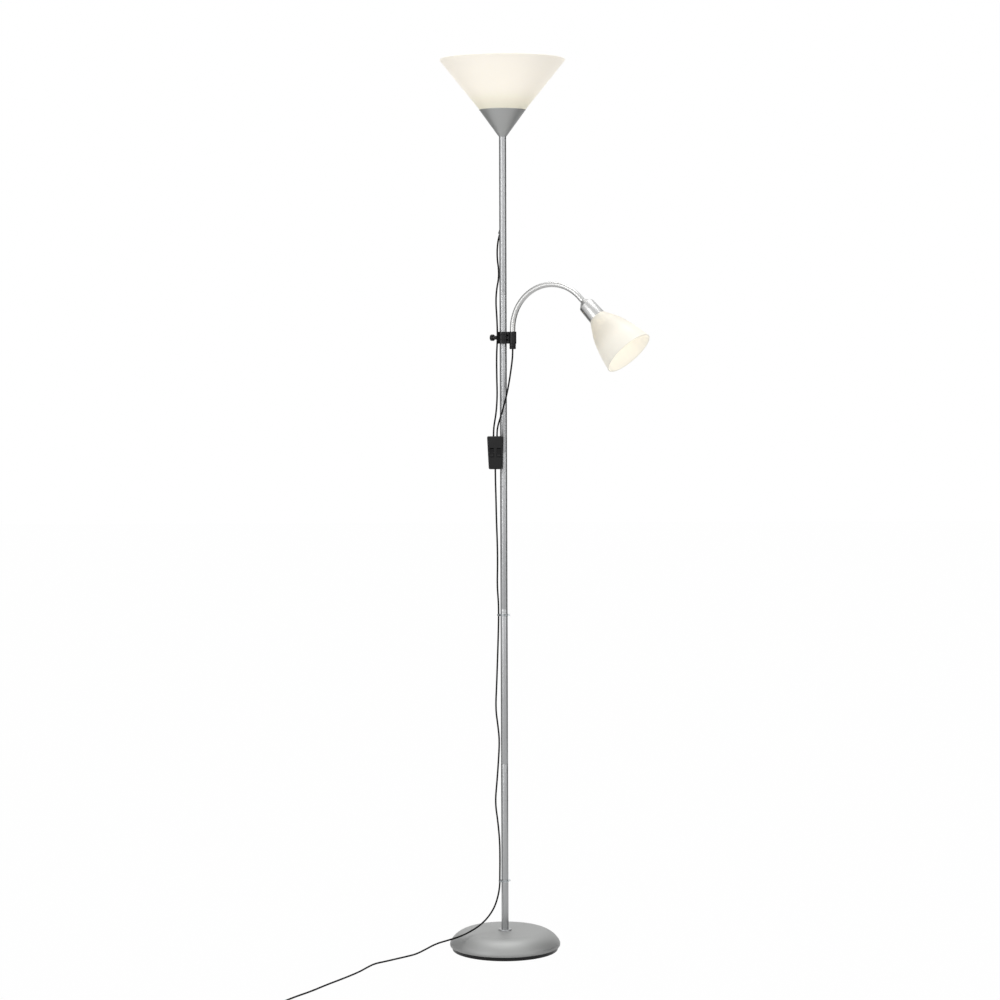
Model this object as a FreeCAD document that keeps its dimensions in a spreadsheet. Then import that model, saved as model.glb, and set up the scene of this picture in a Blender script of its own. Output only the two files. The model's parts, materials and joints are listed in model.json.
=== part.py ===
import FreeCAD, Part

import math
import os

import Sketcher

# A floor lamp of the torchiere kind: a heavy domed foot, a sectional pole with an
# upward cone shade, and a reading light on a bendable neck that a clamp holds to the
# pole. Millimetres, +Z up. The origin is the middle of the foot's underside, on the
# floor. The viewer of the front stands on the -Y side, with +X to the right.

V = FreeCAD.Vector
UP = V(0, 0, 1)

# ---------------------------------------------------------------------------
# Driving dimensions: alias, value, meaning
# ---------------------------------------------------------------------------
SIZES = [
    ("base_radius", 112.5, "widest radius of the foot's cover"),
    ("base_lip_height", 8.0, "height of the cover's lower lip"),
    ("base_belt_height", 11.0, "height at which the cover is widest"),
    ("base_rim_bend", 11.5, "bend radius of the cover above its belt"),
    ("base_shoulder_bend", 46.5, "bend radius of the cover's shoulder"),
    ("base_shoulder_turn", 58.5, "degrees that the shoulder turns"),
    ("base_cover_wall", 1.2, "sheet thickness of the cover"),
    ("tray_radius", 107.5, "radius of the black underside tray"),
    ("tray_floor", 2.5, "floor thickness of the tray"),
    ("tray_rim", 2.5, "rim thickness of the tray"),
    ("weight_radius", 100.0, "radius of the cast weight"),
    ("weight_bottom", 2.6, "height of the weight's underside"),
    ("weight_top", 18.0, "height of the weight's disc"),
    ("weight_hub_radius", 22.0, "radius of the weight's raised hub"),
    ("stud_radius", 5.0, "radius of the threaded stud and nipple"),
    ("stud_bore", 3.6, "bore radius of the stud and nipple"),
    ("collar_radius", 13.5, "radius of the collar at the pole's foot"),
    ("collar_height", 2.6, "height of that collar"),
    ("pole_radius", 7.25, "outer radius of the pole"),
    ("pole_wall", 1.0, "wall thickness of the pole"),
    ("pole_bottom", 40.8, "height of the pole's lower end"),
    ("first_joint", 381.0, "height of the lowest pole joint"),
    ("joint_step", 316.75, "length of each further pole section"),
    ("coupler_length", 36.0, "length of each inner coupler"),
    ("fit_gap", 0.05, "radial play of a close fit"),
    ("cord_radius", 1.7, "radius of the round cord"),
    ("exit_height", 1456.0, "height of the cord's hole in the pole"),
    ("exit_azimuth", 140.0, "compass angle of that hole, degrees from +X"),
    ("exit_slope", 22.0, "degrees between the leaving cord and the pole"),
    ("cup_top", 1700.0, "height of the metal cup's rim"),
    ("cup_bottom", 1646.5, "height of the cup's lower end"),
    ("cup_radius", 46.7, "radius of the cup's rim"),
    ("cup_wall", 1.0, "wall of the cup"),
    ("shade_top", 1800.0, "height of the upper shade's rim"),
    ("shade_radius", 125.4, "radius of the upper shade's rim"),
    ("shade_wall", 2.4, "wall of the upper shade"),
    ("shade_seat", 1686.5, "height of the upper shade's seat"),
    ("holder_radius", 19.3, "radius of the large lampholder's skirt"),
    ("bulb_radius", 30.0, "radius of the large bulb"),
    ("bulb_top", 1788.0, "height of the large bulb's tip"),
    ("clamp_bottom", 1233.0, "height of the clamp's underside"),
    ("clamp_height", 24.0, "height of the clamp"),
    ("clamp_radius", 12.6, "outer radius of the clamp's pole ring"),
    ("liner_wall", 1.5, "wall of the split liner in the clamp"),
    ("liner_flange", 10.4, "flange radius of that liner"),
    ("arm_azimuth", -29.0, "compass angle of the reading arm, degrees from +X"),
    ("arm_reach", 21.7, "distance from the pole's axis to the arm's foot"),
    ("arm_ring_radius", 7.5, "outer radius of the clamp's arm ring"),
    ("ferrule_radius", 6.5, "radius of the ferrule under the clamp"),
    ("ferrule_bottom", 1222.0, "height of the ferrule's lower end"),
    ("screw_radius", 2.5, "radius of the clamp screw"),
    ("boss_radius", 4.0, "radius of the clamp's screw boss"),
    ("boss_reach", 19.5, "distance from the pole's axis to the boss's end"),
    ("knob_radius", 6.5, "radius of the clamp knob"),
    ("knob_start", 21.8, "distance from the pole's axis to the knob"),
    ("knob_length", 6.5, "length of the clamp knob"),
    ("neck_radius", 5.5, "outer radius of the bendable neck"),
    ("neck_bend", 88.5, "radius of the neck's bend"),
    ("neck_bend_height", 1262.0, "height at which the neck starts to bend"),
    ("neck_turn", 135.5, "degrees that the neck turns"),
    ("neck_tail", 10.0, "straight length between the bend and the head"),
    ("ball_radius", 5.0, "radius of the balls inside the neck"),
    ("neck_gap", 1.5, "distance from a ball's centre to the rim on each side"),
    ("neck_bore", 2.2, "bore radius of the neck"),
    ("cap_cone", 11.0, "length of the reading cap's cone"),
    ("cap_length", 45.5, "whole length of the reading cap"),
    ("cap_waist", 16.4, "radius of the reading cap after its cone"),
    ("cap_mouth", 17.7, "radius of the reading cap's mouth"),
    ("bell_length", 99.0, "length of the reading shade beyond the cap"),
    ("bell_radius", 52.5, "radius of the reading shade's mouth"),
    ("bell_wall", 2.0, "wall of the reading shade"),
    ("small_bulb_radius", 22.5, "radius of the small bulb"),
    ("small_bulb_centre", 82.0, "distance from the cap's end to that bulb's centre"),
    ("switch_x", -16.7, "place of the inline switch along X"),
    ("switch_y", -18.5, "place of the inline switch along Y"),
    ("switch_top", 1047.5, "height of the switch's upper end"),
    ("switch_length", 66.0, "length of the switch"),
    ("switch_upper_width", 33.0, "width of the switch at its upper end"),
    ("switch_lower_width", 26.4, "width of the switch at its lower end"),
    ("switch_depth", 20.0, "depth of the switch"),
    ("switch_parting", 8.0, "depth of the switch's back shell"),
    ("switch_wall", 2.0, "wall of the switch's shells"),
    ("rocker_height", 1015.0, "height of the rockers' axle"),
    ("rocker_spacing", 14.0, "distance between the two rockers' middles"),
    ("rocker_width", 8.0, "width of a rocker"),
    ("rocker_reach", 8.9, "distance from the axle to a rocker's ends"),
    ("rocker_tilt", 8.0, "degrees that a rocker stands tilted"),
    ("axle_radius", 1.0, "radius of the rockers' axle"),
    ("clip_reach", 11.1, "distance from the pole's axis to a clipped cord"),
    ("clip_height", 4.0, "height of a cable clip"),
    ("upper_clip", 685.0, "height of the upper clip's middle"),
    ("lower_clip", 141.0, "height of the lower clip's middle"),
    ("lower_clip_azimuth", 20.0, "degrees that the lower clip is turned to the front"),
    ("plug_width", 26.0, "width of the plug"),
    ("plug_length", 35.0, "length of the plug's body"),
    ("plug_thickness", 13.7, "thickness of the plug"),
    ("pin_radius", 2.0, "radius of a plug pin"),
    ("pin_length", 19.0, "length of a plug pin"),
    ("pin_spacing", 18.6, "distance between the plug's pins"),
    ("relief_length", 28.0, "length of the plug's tapered strain relief"),
    ("relief_radius", 4.6, "thick end of that strain relief"),
    ("coil_pitch", 3.9, "distance between turns of the put-away coil"),
    ("coil_middle", 18.5, "radius of the coil at the middle of its turns"),
]

SECTIONS = 5          # pole tubes
NECK_BENDS = 5        # bending joints of the neck that work in the arm's own plane
SIDE_BENDS = (2, 4)   # the neck also bends sideways after these cells
KNOB_GROOVES = 14     # grip grooves round the clamp's knob
COIL_TURNS = 4        # loops of the put-away coil, half of them in each layer

doc = FreeCAD.newDocument("Lamp")
sheet = doc.addObject("Spreadsheet::Sheet", "sheet")
for row, (alias, number, meaning) in enumerate(SIZES, start=1):
    sheet.set("A%d" % row, alias)
    sheet.set("B%d" % row, str(number))
    sheet.set("C%d" % row, meaning)
    sheet.setAlias("B%d" % row, alias)
doc.recompute()

PIECES = {}


class Size:
    """A number together with the sheet expression that it stands for."""

    def __init__(self, value, text):
        self.value = value
        self.text = text

    def _with(self, other, sign, value):
        return Size(value, "(%s %s %s)" % (self.text, sign, as_size(other).text))

    def __add__(self, other):
        return self._with(other, "+", self.value + as_size(other).value)

    def __sub__(self, other):
        return self._with(other, "-", self.value - as_size(other).value)

    def __mul__(self, other):
        return self._with(other, "*", self.value * as_size(other).value)

    def __truediv__(self, other):
        return self._with(other, "/", self.value / as_size(other).value)

    def __radd__(self, other):
        return as_size(other) + self

    def __rsub__(self, other):
        return as_size(other) - self

    def __rmul__(self, other):
        return as_size(other) * self

    def __neg__(self):
        return Size(-self.value, "(0 - %s)" % self.text)


def as_size(number):
    """Returns the number itself if it is a Size, or else a Size that holds it."""
    if isinstance(number, Size):
        return number
    return Size(float(number), "(%.6f)" % number)


def dim(alias):
    """Returns the driving dimension of that name."""
    return Size(float(sheet.get(alias)), "sheet." + alias)


def num(alias):
    """Returns the plain number of a driving dimension."""
    return dim(alias).value


def sine(angle):
    """Returns the sine of a Size in degrees."""
    return Size(math.sin(math.radians(angle.value)), "sin(%s * 1 deg)" % angle.text)


def cosine(angle):
    """Returns the cosine of a Size in degrees."""
    return Size(math.cos(math.radians(angle.value)), "cos(%s * 1 deg)" % angle.text)


# ---------------------------------------------------------------------------
# Sketches and simple solids
# ---------------------------------------------------------------------------
class Bend:
    """A corner of an outline that is reached by an arc instead of a line."""

    def __init__(self, x, y, radius, left):
        self.x = x
        self.y = y
        self.radius = as_size(radius)
        self.left = left


def keep(label, item):
    """Names a finished sub-part and lists it for export."""
    item.Label = label
    PIECES[label] = item
    return item


def bind(item, path, size):
    """Ties a property of an object to its sheet expression."""
    item.setExpression(path, as_size(size).text)


def new_sketch(body, role):
    """Attaches an empty sketch to one of a body's own origin planes."""
    plane = [item for item in body.Origin.OriginFeatures if item.Role == role][0]
    sketch = body.newObject("Sketcher::SketchObject", body.Name + "_sketch")
    sketch.AttachmentSupport = [(plane, "")]
    sketch.MapMode = "FlatFace"
    return sketch


def pin(sketch, geometry, end, x, y):
    """Fixes one end of a piece of geometry at x, y, both tied to the sheet."""
    for size, kind, axis in ((x, "DistanceX", -2), (y, "DistanceY", -1)):
        size = as_size(size)
        if abs(size.value) < 1e-9:
            sketch.addConstraint(Sketcher.Constraint("PointOnObject", geometry, end, axis))
            continue
        rule = Sketcher.Constraint(kind, -1, 1, geometry, end, size.value)
        index = sketch.addConstraint(rule)
        bind(sketch, "Constraints[%d]" % index, size)


def arc_between(start, end, radius, left):
    """Returns an arc, and whether it runs from end to start.

    The arc is the short one, on the left or right side of the way from start to end.
    """
    chord = end - start
    middle = (start + end) * 0.5
    height = math.sqrt(max(radius ** 2 - chord.Length ** 2 / 4, 0))
    side = V(-chord.y, chord.x, 0)
    side.normalize()
    centre = middle - side * height if left else middle + side * height
    first = math.atan2(start.y - centre.y, start.x - centre.x)
    last = math.atan2(end.y - centre.y, end.x - centre.x)
    circle = Part.Circle(centre, UP, radius)
    if left:
        return Part.ArcOfCircle(circle, last, first), True
    return Part.ArcOfCircle(circle, first, last), False


def draw(sketch, corners):
    """Draws one closed outline of lines and arcs and ties it to the sheet."""
    spots = []
    for corner in corners:
        x, y = (corner.x, corner.y) if isinstance(corner, Bend) else corner
        spots.append((as_size(x), as_size(y)))
    ends = []
    for index, corner in enumerate(corners):
        before = spots[index - 1]
        start = V(before[0].value, before[1].value, 0)
        end = V(spots[index][0].value, spots[index][1].value, 0)
        backwards = False
        if isinstance(corner, Bend):
            arc, backwards = arc_between(start, end, corner.radius.value, corner.left)
            geometry = sketch.addGeometry(arc)
            rule = Sketcher.Constraint("Radius", geometry, corner.radius.value)
            bind(sketch, "Constraints[%d]" % sketch.addConstraint(rule), corner.radius)
        else:
            geometry = sketch.addGeometry(Part.LineSegment(start, end))
        ends.append((geometry, 2 if backwards else 1, 1 if backwards else 2))
    for index, (geometry, start, end) in enumerate(ends):
        following = ends[(index + 1) % len(ends)]
        rule = Sketcher.Constraint("Coincident", geometry, end, following[0], following[1])
        sketch.addConstraint(rule)
        pin(sketch, geometry, end, *spots[index])


def circle_in(sketch, x, y, radius):
    """Adds a circle to a sketch, tied to the sheet."""
    x, y, radius = as_size(x), as_size(y), as_size(radius)
    geometry = sketch.addGeometry(Part.Circle(V(x.value, y.value, 0), UP, radius.value))
    rule = Sketcher.Constraint("Radius", geometry, radius.value)
    bind(sketch, "Constraints[%d]" % sketch.addConstraint(rule), radius)
    pin(sketch, geometry, 3, x, y)


def new_body(label):
    """Makes an empty body with a name of its own."""
    return doc.addObject("PartDesign::Body", label)


def turned_body(label, corners):
    """Makes a body turned about Z from an outline of radius and height."""
    body = new_body(label)
    sketch = new_sketch(body, "XZ_Plane")
    draw(sketch, corners)
    turn = body.newObject("PartDesign::Revolution", label + "_turn")
    turn.Profile = sketch
    turn.ReferenceAxis = (sketch, ["V_Axis"])
    turn.Angle = 360
    sketch.Visibility = False
    return body


def turned(label, corners, place=None):
    """Makes a turned sub-part, at a place if one is given."""
    body = keep(label, turned_body(label, corners))
    if place is not None:
        body.Placement = place
    return body


def padded_body(label, role, length, outlines, circles=()):
    """Makes a body by padding outlines, and circles as holes, off an origin plane."""
    body = new_body(label)
    sketch = new_sketch(body, role)
    for corners in outlines:
        draw(sketch, corners)
    for x, y, radius in circles:
        circle_in(sketch, x, y, radius)
    pad = body.newObject("PartDesign::Pad", label + "_pad")
    pad.Profile = sketch
    bind(pad, "Length", length)
    return body


def cylinder(label, radius, height, place):
    """Makes a cylinder that stands on the placement's origin along its Z."""
    item = doc.addObject("Part::Cylinder", label)
    bind(item, "Radius", radius)
    bind(item, "Height", height)
    item.Placement = place
    return item


def ball(label, radius, centre):
    """Makes a ball."""
    item = doc.addObject("Part::Sphere", label)
    bind(item, "Radius", radius)
    item.Placement = at(centre)
    return item


def ring_part(label, bend, radius, sweep, place):
    """Makes a part of a torus, swept about the placement's Z from its X."""
    item = doc.addObject("Part::Torus", label)
    bind(item, "Radius1", bend)
    bind(item, "Radius2", radius)
    item.Angle3 = sweep
    item.Placement = place
    return item


def block(label, x, y, z, place):
    """Makes a box of three sizes whose low corner is the placement's origin."""
    item = doc.addObject("Part::Box", label)
    bind(item, "Length", x)
    bind(item, "Width", y)
    bind(item, "Height", z)
    item.Placement = place
    return item


def fused(label, items):
    """Joins solids into one."""
    item = doc.addObject("Part::MultiFuse", label)
    item.Shapes = items
    return item


def cut(label, base, tool):
    """Cuts one solid out of another."""
    item = doc.addObject("Part::Cut", label)
    item.Base = base
    item.Tool = tool
    return item


def group(label, items):
    """Puts separate solids of one kind into one sub-part."""
    item = doc.addObject("Part::Compound", label)
    item.Links = items
    return keep(label, item)


def shaped(label, shape):
    """Makes a sub-part from a shape that is worked out below."""
    item = doc.addObject("Part::Feature", label)
    item.Shape = shape
    item.Placement = FreeCAD.Placement()
    return keep(label, item)


def at(point, axis=None):
    """Returns a placement at a point, with its Z along an axis if one is given."""
    turn = FreeCAD.Rotation(UP, axis) if axis is not None else FreeCAD.Rotation()
    return FreeCAD.Placement(point, turn)


def compass(azimuth):
    """Returns the level direction of a compass angle in degrees from +X."""
    angle = math.radians(azimuth)
    return V(math.cos(angle), math.sin(angle), 0)


# ---------------------------------------------------------------------------
# Cords
# ---------------------------------------------------------------------------
def rounded_path(points, name):
    """Returns a wire of straight runs joined by tangent arcs, and its least radius.

    Each arc takes 0.45 of the shorter run beside its corner.
    """
    edges = []
    last = points[0]
    radii = []
    for index in range(1, len(points) - 1):
        corner = points[index]
        back = points[index - 1] - corner
        ahead = points[index + 1] - corner
        reach = 0.45 * min(back.Length, ahead.Length)
        turn = math.pi - back.getAngle(ahead)
        radii.append(reach / math.tan(turn / 2))
        start = corner + back.normalize() * reach
        end = corner + ahead.normalize() * reach
        inward = back + ahead
        drop = radii[-1] * (1 / math.cos(turn / 2) - 1)
        middle = corner + inward.normalize() * drop
        edges.append(Part.LineSegment(last, start).toShape())
        edges.append(Part.Arc(start, middle, end).toShape())
        last = end
    edges.append(Part.LineSegment(last, points[-1]).toShape())
    wire = Part.Wire(edges)
    print("%s: %.0f mm long, radii %s" % (name, wire.Length, [round(r) for r in radii]))
    return wire


def tube_on(wire, radius, name):
    """Sweeps a round section along a wire and compares the volume with the length."""
    first = wire.OrderedEdges[0]
    start = first.valueAt(first.FirstParameter)
    heading = first.tangentAt(first.FirstParameter)
    profile = Part.Wire(Part.Circle(start, heading, radius).toShape())
    solid = wire.makePipeShell([profile], True, False)
    ideal = math.pi * radius ** 2 * wire.Length
    print("%s: volume over section times length %.4f" % (name, solid.Volume / ideal))
    return solid


def cord(label, points):
    """Makes a cord as a plain tube along its route."""
    route = [V(*point) for point in points]
    wire = rounded_path(route, label)
    return shaped(label, tube_on(wire, num("cord_radius"), label))


def biarc(start, heading, end, final):
    """Returns two edges, tangent arcs, between two points with their directions."""
    chord = end - start
    both = heading + final
    a = 2 * (1 - heading.dot(final))
    b = 2 * chord.dot(both)
    c = -chord.dot(chord)
    if abs(a) < 1e-9:
        reach = -c / b
    else:
        reach = (-b + math.sqrt(b * b - 4 * a * c)) / (2 * a)
    joint = (start + end + (heading - final) * reach) * 0.5
    return [arc_from(start, heading, joint), arc_from(joint, None, end, final)]


def arc_from(start, heading, end, final=None):
    """Returns the arc that leaves start along heading, or reaches end along final."""
    if heading is None:
        return arc_from(end, final * -1, start)
    chord = end - start
    side = chord - heading * chord.dot(heading)
    side.normalize()
    radius = chord.dot(chord) / (2 * chord.dot(side))
    centre = start + side * radius
    outward = (start - centre) + (end - centre)
    outward.normalize()
    middle = centre + outward * radius
    return Part.Arc(start, middle, end).toShape()


# ---------------------------------------------------------------------------
# Foot
# ---------------------------------------------------------------------------
belt = dim("base_belt_height")
rim_bend = dim("base_rim_bend")
shoulder_bend = dim("base_shoulder_bend")
lean = dim("base_shoulder_turn")
cover_wall = dim("base_cover_wall")
# The rim turns from upright to the shoulder's start, and the shoulder on to level.
rim_centre = dim("base_radius") - rim_bend
joint_radius = rim_centre + rim_bend * sine(lean)
joint_height = belt + rim_bend * cosine(lean)
shoulder_centre = joint_radius - shoulder_bend * sine(lean)
dome_top = joint_height + shoulder_bend - shoulder_bend * cosine(lean)
STUD_HOLE = dim("stud_radius") + dim("fit_gap")


def make_foot():
    """Makes the cover, tray, weight, stud and nut of the foot."""
    lip = dim("base_lip_height")
    lip_bend = 9.0
    inner_joint = (joint_radius - cover_wall * sine(lean), joint_height - cover_wall * cosine(lean))
    turned("base_cover", [
        (STUD_HOLE, dome_top),
        (STUD_HOLE, dome_top - cover_wall),
        (shoulder_centre, dome_top - cover_wall),
        Bend(inner_joint[0], inner_joint[1], shoulder_bend - cover_wall, True),
        Bend(dim("base_radius") - cover_wall, belt, rim_bend - cover_wall, True),
        Bend(dim("base_radius") - cover_wall * 2.5, lip, lip_bend, True),
        (dim("base_radius") - cover_wall * 1.5, lip),
        Bend(dim("base_radius"), belt, lip_bend, False),
        Bend(joint_radius, joint_height, rim_bend, False),
        Bend(shoulder_centre, dome_top, shoulder_bend, False),
    ])
    tray = dim("tray_radius")
    edge = 1.0
    tray_top = lip + 1.5
    turned("base_tray", [
        (0, 0),
        (tray - edge, 0),
        Bend(tray, edge, edge, False),
        (tray, tray_top),
        (tray - dim("tray_rim"), tray_top),
        (tray - dim("tray_rim"), dim("tray_floor")),
        (0, dim("tray_floor")),
    ])
    bottom = dim("weight_bottom")
    broken_edge = 2.0
    pocket_radius = 15.0
    pocket_top = bottom + 8.0
    cored_hole = STUD_HOLE + 0.3
    turned("base_weight", [
        (pocket_radius, bottom),
        (dim("weight_radius"), bottom),
        (dim("weight_radius"), dim("weight_top") - broken_edge),
        (dim("weight_radius") - broken_edge, dim("weight_top")),
        (dim("weight_hub_radius") + 3.0, dim("weight_top")),
        (dim("weight_hub_radius"), dome_top - cover_wall),
        (cored_hole, dome_top - cover_wall),
        (cored_hole, pocket_top),
        (pocket_radius, pocket_top),
    ])
    washer_low = pocket_top - 1.5
    washer = turned_body("base_washer", tube_outline(STUD_HOLE, 11, washer_low, pocket_top))
    group("base_nut", [washer, hex_nut("base_hexagon_nut", 17, STUD_HOLE, 6, washer_low - 6)])
    stud_top = 69.0
    turned("base_stud", tube_outline(dim("stud_bore"), dim("stud_radius"), bottom + 0.3, stud_top))
    collar = dim("collar_radius")
    top = dome_top + dim("collar_height")
    turned("pole_collar", [
        (STUD_HOLE, dome_top),
        (collar, dome_top),
        Bend(collar - 2.2, top, 2.7, False),
        (dim("pole_radius") + dim("fit_gap"), top),
        (dim("pole_radius") + dim("fit_gap"), dim("pole_bottom")),
        (STUD_HOLE, dim("pole_bottom")),
    ])


def inner_pole():
    """Returns the pole's bore radius."""
    return dim("pole_radius") - dim("pole_wall")


def tube_outline(inner, outer, low, high):
    """Returns the outline of a plain tube."""
    return [(inner, low), (outer, low), (outer, high), (inner, high)]


def bush(label, bore, low, high):
    """Makes a tube that fills the pole's bore between two heights."""
    return turned_body(label, tube_outline(bore, inner_pole() - dim("fit_gap"), low, high))


def hex_nut(label, across, bore, height, low):
    """Makes a hexagon nut that stands at a height on the pole's axis."""
    body = padded_body(label, "XY_Plane", height, [hexagon(across)], [(0, 0, bore)])
    bind(body, ".Placement.Base.z", low)
    return body


# ---------------------------------------------------------------------------
# Pole
# ---------------------------------------------------------------------------
def exit_line():
    """Returns the middle of the cord's hole in the pole's wall, and its direction."""
    out = compass(num("exit_azimuth"))
    slope = math.radians(num("exit_slope"))
    middle = out * (num("pole_radius") - num("pole_wall") / 2) + UP * num("exit_height")
    heading = out * math.sin(slope) - UP * math.cos(slope)
    return middle, heading


def make_pole():
    """Makes the pole's tubes, their couplers and bushes, and the cord's grommet."""
    chamfer = 0.4
    low = dim("pole_bottom")
    couplers = [bush("pole_foot_bush", STUD_HOLE, low + 1.5, low + 29.8)]
    for section in range(SECTIONS):
        high = dim("first_joint") + dim("joint_step") * section
        if section == SECTIONS - 1:
            high = dim("cup_bottom")
        label = "pole_tube_%d" % (section + 1)
        outline = [
            (inner_pole(), low),
            (dim("pole_radius") - chamfer, low),
            (dim("pole_radius"), low + chamfer),
            (dim("pole_radius"), high - chamfer),
            (dim("pole_radius") - chamfer, high),
            (inner_pole(), high),
        ]
        if section < SECTIONS - 1:
            turned(label, outline)
            half = dim("coupler_length") / 2
            couplers.append(bush("coupler_%d" % section, 3.6, high - half, high + half))
        else:
            plain = turned_body("upper_tube_blank", outline)
            middle, heading = exit_line()
            hole = cylinder("exit_hole", dim("cord_radius") + 1.0, 40, at(middle - heading * 14, heading))
            keep(label, cut(label, plain, hole))
        low = high
    couplers.append(bush("pole_top_bush", STUD_HOLE, low - 20, low))
    group("pole_couplers", couplers)
    make_grommet()


def make_grommet():
    """Makes the rubber ring that lines the cord's hole."""
    middle, heading = exit_line()
    low = V(0, 0, num("exit_height") - 30)
    bore = dim("cord_radius") + dim("fit_gap")
    sleeve = cylinder("grommet_sleeve", dim("cord_radius") + 0.95, 12, at(middle - heading * 9, heading))
    inside = cylinder("grommet_inside", inner_pole(), 60, at(low))
    lip = cylinder("grommet_lip", dim("cord_radius") + 1.9, 8.2, at(middle - heading * 5, heading))
    outside = cylinder("grommet_outside", dim("pole_radius") + 0.02, 60, at(low))
    core = cut("grommet_core", sleeve, inside)
    edge = cut("grommet_edge", lip, outside)
    passage = cylinder("grommet_passage", bore, 40, at(middle - heading * 20, heading))
    keep("cord_grommet", cut("grommet_cut", fused("grommet_blank", [core, edge]), passage))


# ---------------------------------------------------------------------------
# Upper light
# ---------------------------------------------------------------------------
def contact_outline(low, radius, height):
    """Returns the outline of a lampholder's middle contact."""
    return [
        (0, low),
        (radius, low),
        (radius, low + height * 0.25),
        (radius * 0.45, low + height),
        (0, low + height),
    ]


def make_upper_light():
    """Makes the cup, shade, lampholder and bulb at the top of the pole."""
    low = dim("cup_bottom")
    high = dim("cup_top")
    wall = dim("cup_wall")
    neck = dim("pole_radius") + 0.5
    turned("shade_cup", [
        (STUD_HOLE, low),
        (neck, low),
        (dim("cup_radius"), high),
        (dim("cup_radius") - wall * 1.3, high),
        (neck + 0.4, low + wall * 1.8),
        (STUD_HOLE, low + wall * 1.8),
    ])
    turned("top_nipple", tube_outline(dim("stud_bore"), dim("stud_radius"), low - 18.0, low + 14.0))
    keep("top_nut", hex_nut("top_nut", 14, STUD_HOLE, 3.5, low + 2.4))
    skirt = dim("holder_radius")
    seat = dim("shade_seat")
    turned("top_lampholder", [
        (STUD_HOLE, low + 6.5),
        (9, low + 6.5),
        (9.5, low + 13.0),
        (skirt, low + 26.0),
        (skirt, seat - 2.0),
        (skirt + 3.2, seat - 2.0),
        (skirt + 3.2, seat - 0.1),
        (skirt, seat - 0.1),
        (skirt, seat + 22.0),
        (skirt - 1.6, seat + 22.0),
        (skirt - 1.6, low + 29.0),
        (STUD_HOLE, low + 29.0),
    ])
    shell = turned_body("top_socket_shell", tube_outline(13.6, 14.4, low + 33.0, low + 56.0))
    contact = turned_body("top_socket_contact", contact_outline(low + 29.1, 7, 3.4))
    group("top_socket_contacts", [shell, contact])
    wall = dim("shade_wall")
    slant = (dim("shade_radius") - dim("cup_radius")) / (dim("shade_top") - high)
    side = wall * 1.3
    foot = seat + wall
    turned("upper_shade", [
        (skirt + 0.3, seat),
        (32.5, seat),
        (44.2, high + 0.3),
        (dim("cup_radius") - 0.4, high + 0.3),
        (dim("cup_radius") + 0.4, high + 1.3),
        (dim("shade_radius"), dim("shade_top") - 1.2),
        Bend(dim("shade_radius") - side, dim("shade_top") - 0.6, 1.75, False),
        (dim("cup_radius") + slant * 2.2 - side, high + 2.2),
        (41.2, high - 0.5),
        (29.8, foot),
        (skirt + 0.3, foot),
    ])
    turned("upper_shade_ring", [
        (skirt + 0.1, foot + 0.1),
        (skirt + 7.0, foot + 0.1),
        (skirt + 7.0, foot + 2.6),
        (skirt + 2.6, foot + 3.4),
        (skirt + 2.6, foot + 9.0),
        (skirt + 0.1, foot + 9.0),
    ])
    tip = dim("bulb_top")
    glass = dim("bulb_radius")
    cap_top = tip - 80.0
    turned("top_bulb_cap", [
        (0, low + 32.6),
        (4, low + 32.6),
        (9, low + 36.0),
        (13.3, low + 37.5),
        (13.3, cap_top),
        (0, cap_top),
    ])
    thin = 1.0
    turned("top_bulb_glass", [
        (13.4 - thin, cap_top + 0.1),
        (13.4, cap_top + 0.1),
        (14.6, cap_top + 6.0),
        Bend(glass, tip - glass, 62.0, False),
        Bend(0, tip, glass, False),
        (0, tip - thin),
        Bend(glass - thin, tip - glass, glass - thin, True),
        Bend(14.6 - thin, cap_top + 6.0, 61.0, True),
    ])


# ---------------------------------------------------------------------------
# Reading arm: clamp, neck and head
# ---------------------------------------------------------------------------
ARM_OUT = compass(num("arm_azimuth"))
ARM_FOOT = ARM_OUT * num("arm_reach")
# Turning about this axis bends the neck further down.
BEND_AXIS = UP.cross(ARM_OUT)
BEND_CENTRE = ARM_FOOT + ARM_OUT * num("neck_bend") + UP * num("neck_bend_height")
# The bend's own frame: X back to the foot, Y up, Z along the bending axis.
BEND_PLACE = FreeCAD.Placement(BEND_CENTRE, FreeCAD.Rotation(ARM_OUT * -1, UP, BEND_AXIS, "ZXY"))


def clamp_place(height):
    """Returns the clamp's frame at a height: X points to the arm."""
    return FreeCAD.Placement(V(0, 0, height), FreeCAD.Rotation(UP, num("arm_azimuth")))


def sideways(height, reach):
    """Returns a placement that points away from the arm, from a reach off the pole."""
    return at(ARM_OUT * -reach + UP * height, ARM_OUT * -1)


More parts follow.
